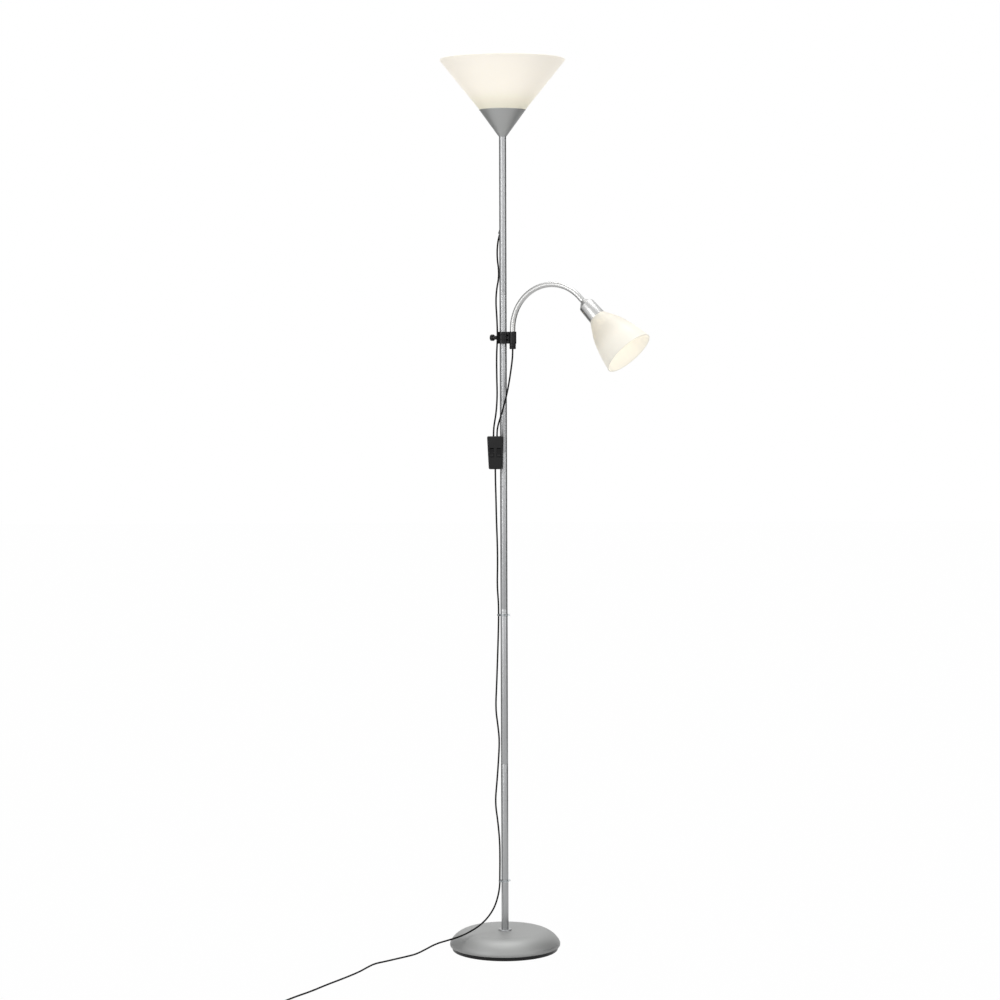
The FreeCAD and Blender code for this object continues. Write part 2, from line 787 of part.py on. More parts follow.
def make_clamp():
    """Makes the clamp, its liner, insert, screw and knob, and the ferrule below it."""
    low = num("clamp_bottom")
    tall = dim("clamp_height")
    middle = low + tall.value / 2
    liner_radius = dim("pole_radius") + dim("fit_gap") + dim("liner_wall")
    base = clamp_place(low)
    arm = FreeCAD.Placement(ARM_FOOT + UP * low, FreeCAD.Rotation())
    web = FreeCAD.Placement(base.multVec(V(9, -4.5, 0)), base.Rotation)
    blank = fused("clamp_blank", [
        cylinder("clamp_pole_ring", dim("clamp_radius"), tall, base),
        cylinder("clamp_arm_ring", dim("arm_ring_radius"), tall, arm),
        block("clamp_web", 9, 9, tall, web),
        cylinder("clamp_boss", dim("boss_radius"), dim("boss_reach") - 10, sideways(middle, 10)),
    ])
    recess = 1.4
    under = FreeCAD.Placement(V(0, 0, low - 1), FreeCAD.Rotation())
    over = FreeCAD.Placement(V(0, 0, low + tall.value - recess), FreeCAD.Rotation())
    tools = fused("clamp_tools", [
        cylinder("clamp_bore", liner_radius + dim("fit_gap"), tall + 4, under),
        cylinder("clamp_low_recess", dim("liner_flange") + 0.2, 1 + recess, under),
        cylinder("clamp_high_recess", dim("liner_flange") + 0.2, 1 + recess, over),
        cylinder("clamp_arm_bore", dim("neck_radius") + dim("fit_gap"), tall + 4, at(arm.Base - UP)),
        cylinder("clamp_insert_hole", 3.2, 12, sideways(middle, 8.5)),
    ])
    keep("clamp_body", cut("clamp_cut", blank, tools))
    insert = cylinder("insert_blank", 3.15, dim("boss_reach") - 9.6, sideways(middle, 9.4))
    thread = cylinder("insert_bore", dim("screw_radius") + dim("fit_gap"), 30, sideways(middle, 5))
    keep("clamp_insert", cut("insert_cut", insert, thread))
    flange = dim("liner_flange")
    inner = dim("pole_radius") + dim("fit_gap")
    liner = turned_body("liner_blank", [
        (inner, low + 0.1),
        (flange, low + 0.1),
        (flange, low + 1.3),
        (liner_radius, low + 1.3),
        (liner_radius, low + tall - 1.3),
        (flange, low + tall - 1.3),
        (flange, low + tall - 0.1),
        (inner, low + tall - 0.1),
    ])
    slit_place = FreeCAD.Placement(V(0, 0, low - 2), FreeCAD.Rotation(UP, 60))
    slit = block("liner_slit", 8, 1.5, tall + 4, slit_place.multiply(at(V(5, -0.75, 0))))
    keep("clamp_liner", cut("liner_cut", liner, slit))
    tip = liner_radius.value + 0.1
    reach = dim("knob_start") + 5.0 - tip
    keep("clamp_screw", cylinder("clamp_screw", dim("screw_radius"), reach, sideways(middle, tip)))
    make_knob(middle)
    ferrule = turned_body("ferrule_blank", [
        (dim("cord_radius") + 0.1, 0),
        (dim("ferrule_radius") - 1.2, 0),
        (dim("ferrule_radius"), 1.6),
        (dim("ferrule_radius"), dim("clamp_bottom") - dim("ferrule_bottom")),
        (dim("neck_radius") + dim("fit_gap"), dim("clamp_bottom") - dim("ferrule_bottom")),
        (dim("neck_radius") + dim("fit_gap"), 5),
        (dim("cord_radius") + 0.1, 5),
    ])
    ferrule.Placement = at(ARM_FOOT + UP * num("ferrule_bottom"))
    keep("arm_ferrule", ferrule)


def make_knob(height):
    """Makes the clamp's knob with grip grooves round it."""
    length = dim("knob_length")
    radius = dim("knob_radius")
    body = turned_body("clamp_knob_body", [
        (0, 5.1),
        (dim("screw_radius") + dim("fit_gap"), 5.1),
        (dim("screw_radius") + dim("fit_gap"), 0),
        (radius - 0.8, 0),
        (radius, 0.8),
        (radius, length - 2.0),
        (radius - 0.8, length - 0.7),
        (radius - 2.2, length),
        (0, length),
    ])
    body.Placement = sideways(height, num("knob_start"))
    grooves = []
    for index in range(KNOB_GROOVES):
        spot = compass(360 * index / KNOB_GROOVES) * (radius.value + 0.35)
        place = body.Placement.multiply(at(spot - UP))
        grooves.append(cylinder("knob_groove_%d" % index, 0.8, length + 3.0, place))
    keep("clamp_knob", cut("clamp_knob_cut", body, fused("knob_grooves", grooves)))


def bend_point(angle):
    """Returns the point of the neck's middle line at an angle of its bend."""
    turn = math.radians(angle)
    return BEND_PLACE.multVec(V(math.cos(turn), math.sin(turn), 0) * num("neck_bend"))


def bend_heading(angle):
    """Returns the direction of the neck at an angle of its bend."""
    turn = math.radians(angle)
    return BEND_PLACE.Rotation.multVec(V(-math.sin(turn), math.cos(turn), 0))


def bend_part(label, radius, first, last):
    """Makes the part of the neck's bend between two angles."""
    place = BEND_PLACE.multiply(FreeCAD.Placement(V(), FreeCAD.Rotation(UP, first)))
    return ring_part(label, dim("neck_bend"), radius, last - first, place)


def neck_joints():
    """Returns the angles of the neck's balls along its bend, in order."""
    cell = num("neck_turn") / NECK_BENDS
    angles = [cell * (index + 0.5) for index in range(NECK_BENDS)]
    angles += [cell * index for index in SIDE_BENDS]
    return sorted(angles)


HEAD_START = bend_point(num("neck_turn")) + bend_heading(num("neck_turn")) * num("neck_tail")
HEAD_AXIS = bend_heading(num("neck_turn"))
HEAD_TURN = FreeCAD.Rotation(BEND_AXIS.cross(HEAD_AXIS), BEND_AXIS, HEAD_AXIS, "ZYX")
HEAD_PLACE = FreeCAD.Placement(HEAD_START, HEAD_TURN)


def make_neck():
    """Makes the neck as hollow links, each with a ball that sits in the one before."""
    joints = neck_joints()
    gap = math.degrees(num("neck_gap") / num("neck_bend"))
    outer = dim("neck_radius")
    bore = dim("neck_bore")
    foot_low = num("ferrule_bottom") + 5.2
    stem = num("neck_bend_height") - foot_low
    foot = fused("neck_foot_blank", [
        cylinder("neck_stem", outer, stem + 0.01, at(ARM_FOOT + UP * foot_low)),
        bend_part("neck_foot_bend", outer, 0, joints[0] - gap),
    ])
    tools = fused("neck_foot_tools", [
        ball("neck_socket_0", dim("ball_radius") + dim("fit_gap"), bend_point(joints[0])),
        cylinder("neck_stem_bore", bore, stem + 2, at(ARM_FOOT + UP * (foot_low - 1))),
        bend_part("neck_foot_bore", bore, 0, joints[0]),
    ])
    keep("neck_foot", cut("neck_foot_cut", foot, tools))
    for index in range(len(joints) - 1):
        start = joints[index]
        end = joints[index + 1]
        tag = "%d" % (index + 1)
        link = fused("neck_link_blank_" + tag, [
            ball("neck_ball_" + tag, dim("ball_radius"), bend_point(start)),
            bend_part("neck_tube_" + tag, outer, start + gap, end - gap),
        ])
        tools = fused("neck_link_tools_" + tag, [
            ball("neck_socket_" + tag, dim("ball_radius") + dim("fit_gap"), bend_point(end)),
            bend_part("neck_bore_" + tag, bore, start - 5, end + 1),
        ])
        keep("neck_link_" + tag, cut("neck_link_cut_" + tag, link, tools))
    last = joints[-1]
    tail = num("neck_tail")
    end = fused("neck_end_blank", [
        ball("neck_ball_last", dim("ball_radius"), bend_point(last)),
        bend_part("neck_end_bend", outer, last + gap, num("neck_turn")),
        cylinder("neck_end_tail", outer, tail - 0.1, at(bend_point(num("neck_turn")), HEAD_AXIS)),
        cylinder("neck_end_thread", 4.2, tail + 11, at(bend_point(num("neck_turn")), HEAD_AXIS)),
    ])
    tools = fused("neck_end_tools", [
        bend_part("neck_end_bore", bore, last - 5, num("neck_turn")),
        cylinder("neck_tail_bore", bore, tail + 12, at(bend_point(num("neck_turn")), HEAD_AXIS)),
    ])
    keep("neck_end", cut("neck_end_cut", end, tools))
    start = ARM_FOOT + UP * (num("ferrule_bottom") + 5)
    edges = [Part.LineSegment(start, bend_point(0)).toShape()]
    for index in range(2):
        first = num("neck_turn") * index / 2
        final = num("neck_turn") * (index + 1) / 2
        arc = Part.Arc(bend_point(first), bend_point((first + final) / 2), bend_point(final))
        edges.append(arc.toShape())
    edges.append(Part.LineSegment(bend_point(num("neck_turn")), HEAD_START + HEAD_AXIS * 10).toShape())
    shaped("neck_lead", tube_on(Part.Wire(edges), num("cord_radius"), "neck_lead"))


def make_head():
    """Makes the reading head in its own frame, along the direction it points."""
    cap = dim("cap_length")
    wall = dim("cup_wall")
    hole = 4.3        # bore for the neck's threaded end
    thread = 13.4     # outer radius of the lampholder's thread
    turned("reading_cap", [
        (hole, 0),
        (dim("neck_radius") + 0.3, 0),
        (dim("cap_waist"), dim("cap_cone")),
        (dim("cap_mouth"), cap),
        (dim("cap_mouth") - wall, cap),
        (dim("cap_waist") - wall, dim("cap_cone") + 0.6),
        (dim("neck_radius"), 1.6),
        (hole, 1.6),
    ], HEAD_PLACE)
    nut = padded_body("head_nut", "XY_Plane", 2.6, [hexagon(9.6)], [(0, 0, 4.25)])
    nut.Placement = HEAD_PLACE.multiply(at(V(0, 0, 5.4)))
    keep("head_nut", nut)
    turned("reading_lampholder", [
        (hole, 8.4),
        (6.5, 8.4),
        (7.5, 13),
        (12.6, 17),
        (12.6, cap - 4.2),
        (15.6, cap - 4.2),
        (15.6, cap - 2.3),
        (thread, cap - 2.3),
        (thread, cap + 8.0),
        (12.0, cap + 8.0),
        (11.4, 19),
        (hole, 19),
    ], HEAD_PLACE)
    shell = turned_body("reading_socket_shell", tube_outline(7.3, 8.0, 30, 48))
    contact = turned_body("reading_socket_contact", contact_outline(25, 4, 4))
    group("reading_socket_contacts", [shell, contact]).Placement = HEAD_PLACE
    mouth = dim("bell_radius")
    end = cap + dim("bell_length")
    waist = mouth * 0.78
    waist_end = cap + 51.0
    wall = dim("bell_wall")
    turned("reading_shade", [
        (13.7, cap - 2.0),
        (dim("cap_mouth") - 1.5, cap - 2.0),
        (dim("cap_mouth") - 1.5, cap + 0.2),
        (dim("cap_mouth") + 0.1, cap + 0.2),
        (mouth * 0.638, cap + 29.5),
        Bend(waist, waist_end, 104, False),
        Bend(mouth, end - 0.8, 600, False),
        Bend(mouth - wall, end - 0.4, 1.1, False),
        Bend(waist - wall, waist_end + 0.4, 598, True),
        Bend(mouth * 0.638 - wall, cap + 30.2, 102, True),
        (dim("cap_mouth") - 1.3, cap + 0.4),
        (13.7, cap + 0.2),
    ], HEAD_PLACE)
    turned("reading_shade_ring", [
        (thread + 0.1, cap + 0.5),
        (16.0, cap + 0.9),
        (16.0, cap + 2.6),
        (14.8, cap + 3.4),
        (14.8, cap + 7.6),
        (thread + 0.1, cap + 7.6),
    ], HEAD_PLACE)
    centre = dim("small_bulb_centre")
    glass = dim("small_bulb_radius")
    turned("reading_bulb_cap", [(0, 29.1), (2.5, 29.1), (5, 32), (7, 33), (7, 51), (0, 51)], HEAD_PLACE)
    thin = 1.0
    turned("reading_bulb_glass", [
        (7.2 - thin, 51.1),
        (7.2, 51.1),
        (8.5, 56),
        Bend(glass, centre, 30, False),
        Bend(0, centre + glass, glass, False),
        (0, centre + glass - thin),
        Bend(glass - thin, centre, glass - thin, True),
        Bend(8.5 - thin, 56, 29, True),
    ], HEAD_PLACE)


def hexagon(across):
    """Returns the outline of a hexagon of a width across its flats."""
    reach = as_size(across) / math.sqrt(3)
    corners = []
    for step in range(6):
        angle = math.radians(60 * step)
        corners.append((reach * math.cos(angle), reach * math.sin(angle)))
    return corners


# ---------------------------------------------------------------------------
# Inline switch
# ---------------------------------------------------------------------------
SWITCH_BOTTOM = dim("switch_top") - dim("switch_length")
UPPER_CORD_ENTRY = -3.4     # places of the three cords across the switch
ARM_CORD_ENTRY = 3.6
MAINS_ENTRY = 0.0
SWITCH_SCREWS = ((-10.0, 1039.0), (9.0, 990.0))
PARTING = num("switch_y") - num("switch_depth") / 2 + (num("switch_depth") - num("switch_parting"))
ROCKER_SINK = 4.6           # depth of the rockers' axle below the switch's face
AXLE_Y = PARTING - (num("switch_depth") - num("switch_parting")) + ROCKER_SINK


def switch_outline(inset):
    """Returns the switch's tapered outline, drawn in by an inset."""
    lower = dim("switch_lower_width") / 2 - inset
    upper = dim("switch_upper_width") / 2 - inset
    low = SWITCH_BOTTOM + inset
    high = dim("switch_top") - inset
    bend = 3.0
    return [
        (lower - bend, low),
        Bend(lower, low + bend, bend * 1.02, False),
        (upper, high - bend),
        Bend(upper - bend, high, bend * 1.02, False),
        (-upper + bend, high),
        Bend(-upper, high - bend, bend * 1.02, False),
        (-lower, low + bend),
        Bend(-lower + bend, low, bend * 1.02, False),
    ]


def switch_shell(label, depth, front):
    """Makes one shell of the switch, with screw posts, screw holes and cord holes."""
    place = at(V(num("switch_x"), PARTING, 0))
    body = padded_body(label + "_blank", "XZ_Plane", depth, [switch_outline(0)])
    pad = body.Tip
    pad.Reversed = not front
    doc.recompute()
    face = depth.value * (-1 if front else 1)
    rim = []
    for index, edge in enumerate(pad.Shape.Edges, start=1):
        if all(abs(vertex.Y - face) < 1e-6 for vertex in edge.Vertexes):
            rim.append("Edge%d" % index)
    rounding = body.newObject("PartDesign::Fillet", label + "_rounding")
    rounding.Base = (pad, rim)
    rounding.Radius = 2.4 if front else 1.6
    cavity = new_sketch(body, "XZ_Plane")
    draw(cavity, switch_outline(dim("switch_wall")))
    pocket = body.newObject("PartDesign::Pocket", label + "_cavity")
    pocket.Profile = cavity
    bind(pocket, "Length", depth - dim("switch_wall"))
    pocket.Reversed = front
    if front:
        windows = new_sketch(body, "XZ_Plane")
        half = dim("rocker_width") / 2 + 0.15
        reach = dim("rocker_reach") + 0.2
        for side in (-1, 1):
            middle = dim("rocker_spacing") * (side / 2)
            level = dim("rocker_height")
            draw(windows, [
                (middle - half, level - reach),
                (middle + half, level - reach),
                (middle + half, level + reach),
                (middle - half, level + reach),
            ])
        opening = body.newObject("PartDesign::Pocket", label + "_windows")
        opening.Profile = windows
        bind(opening, "Length", depth + 1.0)
        opening.Reversed = True
    body.Placement = place
    ahead = V(0, -1, 0) if front else V(0, 1, 0)
    posts = [body]
    tools = []
    for index, (across, height) in enumerate(SWITCH_SCREWS):
        spot = V(num("switch_x") + across, PARTING, height)
        tag = "%s_%d" % (label, index)
        posts.append(cylinder("post_" + tag, 2.4, depth - 0.8, at(spot, ahead)))
        bore = depth - 1.2 if front else depth + 2
        tools.append(cylinder("post_hole_" + tag, 1.1, bore, at(spot - ahead, ahead)))
        if not front:
            seat = spot + ahead * (depth.value - 2.2)
            tools.append(cylinder("screw_seat_" + tag, 2.0, 4, at(seat, ahead)))
    for name, across, height in cord_entries():
        spot = V(num("switch_x") + across, num("switch_y"), height - 6)
        tools.append(cylinder("%s_%s" % (label, name), dim("cord_radius") + 0.05, 12, at(spot)))
    keep(label, cut(label + "_cut", fused(label + "_posts", posts), fused(label + "_tools", tools)))


def cord_entries():
    """Returns the names, places across and heights of the switch's cord holes."""
    top = num("switch_top")
    return (
        ("upper_hole", UPPER_CORD_ENTRY, top),
        ("arm_hole", ARM_CORD_ENTRY, top),
        ("mains_hole", MAINS_ENTRY, SWITCH_BOTTOM.value),
    )


def make_switch():
    """Makes the inline switch: shells, rockers, axle, contacts and screws."""
    deep = dim("switch_depth") - dim("switch_parting")
    switch_shell("switch_front", deep, True)
    switch_shell("switch_back", dim("switch_parting"), False)
    reach = dim("rocker_reach")
    face_turn = math.radians(57.4)     # where the paddles start on the rocker's round
    root_turn = math.radians(83.5)     # and where the round meets the switch's inside
    crest = 0.43                       # height of the middle crest, as a share of the reach
    out_high, up_high = math.cos(face_turn), math.sin(face_turn)
    out_low, up_low = math.cos(root_turn), math.sin(root_turn)
    for label, side in (("rocker_upper_light", -1), ("rocker_reading_light", 1)):
        rocker = padded_body(label, "YZ_Plane", dim("rocker_width"), [[
            Bend(-reach * out_high, -reach * up_high, reach, True),
            (-reach * crest, 0),
            (-reach * out_high, reach * up_high),
            Bend(-reach * out_low, reach * up_low, reach, True),
            (2.5, 3),
            (2.5, -3),
            (-reach * out_low, -reach * up_low),
        ]], [(0, 0, dim("axle_radius") + dim("fit_gap"))])
        across = num("switch_x") + side * num("rocker_spacing") / 2 - num("rocker_width") / 2
        turn = FreeCAD.Rotation(V(1, 0, 0), num("rocker_tilt"))
        rocker.Placement = FreeCAD.Placement(V(across, AXLE_Y, num("rocker_height")), turn)
        keep(label, rocker)
    axle = 2 * num("rocker_spacing") - 2.8
    start = V(num("switch_x") - axle / 2, AXLE_Y, num("rocker_height"))
    strips = []
    hardware = [cylinder("rocker_axle", dim("axle_radius"), axle, at(start, V(1, 0, 0)))]
    for side in (-1, 1):
        across = num("switch_x") + side * num("rocker_spacing") / 2
        wide, thick, tall = 5.0, 0.8, 28.0
        corner = V(across - wide / 2, PARTING + 4.8, num("rocker_height") - tall / 2)
        strips.append(block("contact_strip_%d" % (side + 2), wide, thick, tall, at(corner)))
    group("switch_contacts", strips)
    back = PARTING + num("switch_parting")
    for index, (across, height) in enumerate(SWITCH_SCREWS):
        spot = V(num("switch_x") + across, back - 0.4, height)
        head = cylinder("screw_head_%d" % index, 1.9, 1.6, at(spot, V(0, -1, 0)))
        shank = cylinder("screw_shank_%d" % index, 1.0, 15, at(spot, V(0, -1, 0)))
        hardware.append(fused("switch_screw_%d" % index, [head, shank]))
    group("switch_hardware", hardware)


# ---------------------------------------------------------------------------
# Cable clips, cords, coil and plug
# ---------------------------------------------------------------------------
def make_clip(tag, height, azimuth):
    """Makes a clear clip that holds the cord beside the pole."""
    tall = dim("clip_height")
    low = UP * (height - tall.value / 2)
    spot = compass(azimuth) * num("clip_reach") + low
    turn = FreeCAD.Rotation(UP, azimuth + 180)
    tab = FreeCAD.Placement(low, turn).multiply(at(V(7.8, -0.6, 0)))
    blank = fused("clip_blank_" + tag, [
        cylinder("clip_ring_" + tag, dim("pole_radius") + 1.3, tall, at(low)),
        cylinder("clip_loop_" + tag, dim("cord_radius") + 1.2, tall, at(spot)),
        block("clip_tab_" + tag, 4.2, 1.2, tall, tab),
    ])
    tools = fused("clip_tools_" + tag, [
        cylinder("clip_pole_" + tag, dim("pole_radius") + dim("fit_gap"), tall + 2, at(low - UP)),
        cylinder("clip_cord_" + tag, dim("cord_radius") + 0.2, tall + 2, at(spot - UP)),
    ])
    return cut("clip_" + tag, blank, tools)


LOWER_CLIP_SIDE = 180 + num("lower_clip_azimuth")
SWITCH_SPOT = V(num("switch_x"), num("switch_y"), 0)
COIL_HEADING = -118.0       # compass angle along which the cord reaches its coil
COIL_START = V(-448.0, -478.8, 0)   # where the winding begins

# Routes of the free cords, point by point, in the lamp's own frame.
UPPER_ROUTE = [
    (-11.4, 7.4, 1426.0),
    (-11.6, 4.6, 1404.0),
    (-8.6, 5.6, 1382.0),
    (-8.7, 5.4, 1363.0),
    (-13.0, 2.4, 1342.0),
    (-14.6, -3.5, 1316.0),
    (-12.6, -8.8, 1286.0),
    (-11.6, -10.4, 1258.0),
    (-11.8, -10.8, 1238.0),
    (-13.4, -11.0, 1212.0),
    (-13.3, -12.0, 1170.0),
    (-12.2, -13.2, 1128.0),
    (-14.6, -15.8, 1094.0),
    (-19.4, -18.0, 1067.0),
]
ARM_ROUTE = [
    (17.6, -11.2, 1196.0),
    (13.0, -13.2, 1164.0),
    (7.4, -15.2, 1133.0),
    (-3.2, -17.0, 1094.0),
    (-12.0, -18.1, 1067.0),
]
MAINS_ROUTE = [
    (-15.6, -16.2, 925.0),
    (-14.8, -12.2, 878.0),
    (-13.2, -7.6, 832.0),
    (-12.7, -4.0, 790.0),
    (-13.8, -2.4, 745.0),
    (-11.3, -0.4, 711.0),
    (-11.1, 0.0, 694.0),
    (-11.1, 0.0, 676.0),
    (-12.0, -0.9, 640.0),
    (-13.6, -2.4, 595.0),
    (-15.4, -3.6, 545.0),
    (-17.8, -4.6, 495.0),
    (-13.4, -3.8, 461.0),
    (-10.1, -2.6, 430.0),
    (-12.2, -3.2, 389.0),
    (-15.4, -5.0, 346.0),
    (-19.4, -6.0, 303.0),
    (-14.0, -5.2, 264.0),
    (-10.2, -4.6, 222.0),
    (-10.0, -4.2, 180.0),
]
DOME_ROUTE = [
    (-13.6, -6.4, 112.0),
    (-21.0, -12.0, 89.0),
    (-33.9, -21.6, 70.5),
    (-50.5, -34.0, 56.5),
    (-71.0, -48.5, 46.6),
    (-92.0, -60.5, 39.2),
    (-116.0, -66.5, 33.4),
    (-140.0, -64.0, 25.8),
    (-161.0, -58.0, 13.0),
    (-180.0, -57.0, 3.2),
    (-199.0, -71.0, 1.8),
    (-220.0, -91.5, 1.75),
    (-240.5, -112.0, 1.75),
    (-260.0, -129.5, 1.75),
    (-272.0, -156.0, 1.75),
    (-288.0, -198.0, 1.75),
    (-315.5, -248.5, 1.75),
    (-345.5, -298.5, 1.75),
    (-370.5, -346.0, 1.75),
    (-396.5, -385.0, 1.75),
    (-418.5, -424.0, 1.75),
]


def make_cords():
    """Makes the free cords and the lead inside the pole."""
    middle, heading = exit_line()
    mouth = middle + heading * 3.2
    bend = middle - heading * 12
    lead_top = UP * (num("cup_bottom") + 12)
    lead_turn = UP * (num("exit_height") + 69)
    cord("upper_cord_inner", [lead_top, lead_turn, bend, mouth])
    inside = 7.0              # how far each cord reaches into the switch
    top = UP * (num("switch_top") - inside)
    upper_end = SWITCH_SPOT + top + V(UPPER_CORD_ENTRY, 0, 0)
    cord("upper_cord", [mouth, mouth + heading * 10] + UPPER_ROUTE + [upper_end + UP * 11, upper_end])
    arm_top = ARM_FOOT + UP * (num("ferrule_bottom") + 5)
    arm_end = SWITCH_SPOT + top + V(ARM_CORD_ENTRY, 0, 0)
    cord("arm_cord", [arm_top, arm_top - UP * 14] + ARM_ROUTE + [arm_end + UP * 11, arm_end])
    start = SWITCH_SPOT + UP * (SWITCH_BOTTOM.value + inside) + V(MAINS_ENTRY, 0, 0)
    side = compass(LOWER_CLIP_SIDE) * num("clip_reach")
    clipped = [side + UP * 151, side + UP * 132]
    way = compass(COIL_HEADING)
    coil_face = COIL_START - way * 2 * num("cord_radius") + UP * floor_level()
    arrival = [coil_face - way * 30, coil_face]
    cord("mains_cord", [start, start - UP * 26] + MAINS_ROUTE + clipped + DOME_ROUTE + arrival)


def floor_level():
    """Returns the height of the middle line of a cord that lies on the floor."""
    return num("cord_radius") + 0.05


def coil_point(angle):
    """Returns a point of the coil's middle line at an angle of its winding.

    The lower layer winds inwards, climbs one layer in the half turn where it reverses,
    and the upper layer winds out again, rising at its end to the plug's middle.
    """
    whole = 2 * math.pi * COIL_TURNS
    half = whole / 2
    outer = num("coil_middle") + num("coil_pitch") * COIL_TURNS / 4
    radius = outer - num("coil_pitch") * min(angle, whole - angle) / (2 * math.pi)
    climb = min(max((angle - half) / math.pi + 0.5, 0), 1)
    height = floor_level() + num("coil_pitch") * (1 - math.cos(math.pi * climb)) / 2
    finish = min(max((angle - whole) / (math.pi / 2) + 1, 0), 1)
    lift = num("plug_thickness") / 2 - floor_level() - num("coil_pitch")
    height += lift * (1 - math.cos(math.pi * finish)) / 2
    way = compass(COIL_HEADING)
    side = V(-way.y, way.x, 0)
    centre = COIL_START + side * outer
    arm = FreeCAD.Rotation(UP, math.degrees(angle)).multVec(side * -radius)
    return centre + arm + UP * height


def coil_heading(angle):
    """Returns the direction of the coil's winding at an angle."""
    whole = 2 * math.pi * COIL_TURNS
    if angle <= 0 or angle >= whole:
        return compass(COIL_HEADING)
    step = 0.05
    way = coil_point(angle + step) - coil_point(angle - step)
    return way.normalize()


def make_coil():
    """Makes the put-away coil of the mains cord as one unbroken tube."""
    way = compass(COIL_HEADING)
    stub = way * 2 * num("cord_radius")
    whole = 2 * math.pi * COIL_TURNS
    quarters = 4 * COIL_TURNS
    edges = [Part.LineSegment(coil_point(0) - stub, coil_point(0)).toShape()]
    for index in range(quarters):
        first = whole * index / quarters
        last = whole * (index + 1) / quarters
        edges += biarc(coil_point(first), coil_heading(first), coil_point(last), coil_heading(last))
    edges.append(Part.LineSegment(coil_point(whole), coil_point(whole) + stub).toShape())
    wire = Part.Wire(edges)
    print("mains_coil: %.0f mm long" % wire.Length)
    print("mains_coil: least gap %.2f mm" % least_gap(wire, num("cord_radius")))
    shaped("mains_coil", tube_on(wire, num("cord_radius"), "mains_coil"))


def least_gap(wire, radius):
    """Returns the least gap between a tube's turns, measured on points."""
    count = 900
    points = wire.discretize(Number=count)
    apart = int(count * 25 / wire.Length)
    least = wire.Length
    for index, point in enumerate(points):
        for other in points[index + apart:]:
            least = min(least, point.distanceToPoint(other))
    return least - 2 * radius


def make_plug():
    """Makes the plug: its tapered strain relief, body and two pins."""
    way = compass(COIL_HEADING)
    end = coil_point(2 * math.pi * COIL_TURNS) + way * 2 * num("cord_radius")
    turn = FreeCAD.Rotation(UP, COIL_HEADING)
    relief = num("relief_length")
    half = dim("plug_width") / 2
    length = dim("plug_length")
    turned("plug_relief", [
        (0, 0),
        (dim("cord_radius") + 0.9, 0),
        (dim("relief_radius"), dim("relief_length")),
        (0, dim("relief_length")),
    ], at(end, way))
    body = padded_body("plug_blank", "XY_Plane", dim("plug_thickness") - 0.1, [[
        (0, -7),
        (10, -half + 1.5),
        Bend(14, -half, 9, False),
        (length, -half + 1.5),
        (length, half - 1.5),
        (14, half),
        Bend(10, half - 1.5, 9, False),
        (0, 7),
    ]])
    pad = body.Tip
    doc.recompute()
    level = []
    for index, edge in enumerate(pad.Shape.Edges, start=1):
        if abs(edge.Vertexes[0].Z - edge.Vertexes[-1].Z) < 1e-6:
            level.append("Edge%d" % index)
    rounding = body.newObject("PartDesign::Fillet", "plug_rounding")
    rounding.Base = (pad, level)
    rounding.Radius = 2.0
    start = end + way * relief
    body.Placement = FreeCAD.Placement(V(start.x, start.y, 0.05), turn)
    pins = []
    face = start + way * length.value
    holes = []
    sunk = 4.0        # how deep the pins stand in the body
    play = 0.03
    for index, side in enumerate((-1, 1)):
        spot = face + turn.multVec(V(-sunk, side * num("pin_spacing") / 2, 0))
        shaft = cylinder("plug_shaft_%d" % index, dim("pin_radius"), dim("pin_length") + 2, at(spot, way))
        tip = ball("plug_tip_%d" % index, dim("pin_radius"), spot + way * (num("pin_length") + 2))
        pins.append(fused("plug_pin_%d" % index, [shaft, tip]))
        hole = at(spot - way * play, way)
        holes.append(cylinder("plug_hole_%d" % index, dim("pin_radius") + play, sunk + 1, hole))
    keep("plug_body", cut("plug_cut", body, fused("plug_holes", holes)))
    group("plug_pins", pins)


def make_everything():
    """Makes every sub-part of the lamp."""
    make_foot()
    make_pole()
    make_upper_light()
    make_clamp()
    make_neck()
    make_head()
    make_switch()
    clips = [
        make_clip("upper", num("upper_clip"), 180),
        make_clip("lower", num("lower_clip"), LOWER_CLIP_SIDE),
    ]
    group("cable_clips", clips)
    make_cords()
    make_coil()
    make_plug()


def check_and_export():
    """Checks every object and writes one file for each sub-part."""
    doc.recompute()
    for item in doc.Objects:
        for state in item.State:
            if state in ("Invalid", "Error"):
                raise RuntimeError("%s is %s" % (item.Name, state))
    os.makedirs("parts", exist_ok=True)
    for label, item in sorted(PIECES.items()):
        shape = item.Shape
        if shape.isNull() or not shape.isValid() or not shape.Solids:
            raise RuntimeError("%s has no sound shape" % label)
        print("%s: %.2f cm3, %d solid(s)" % (label, shape.Volume / 1000, len(shape.Solids)))
        shape.exportStep("parts/%s.step" % label)


make_everything()
check_and_export()
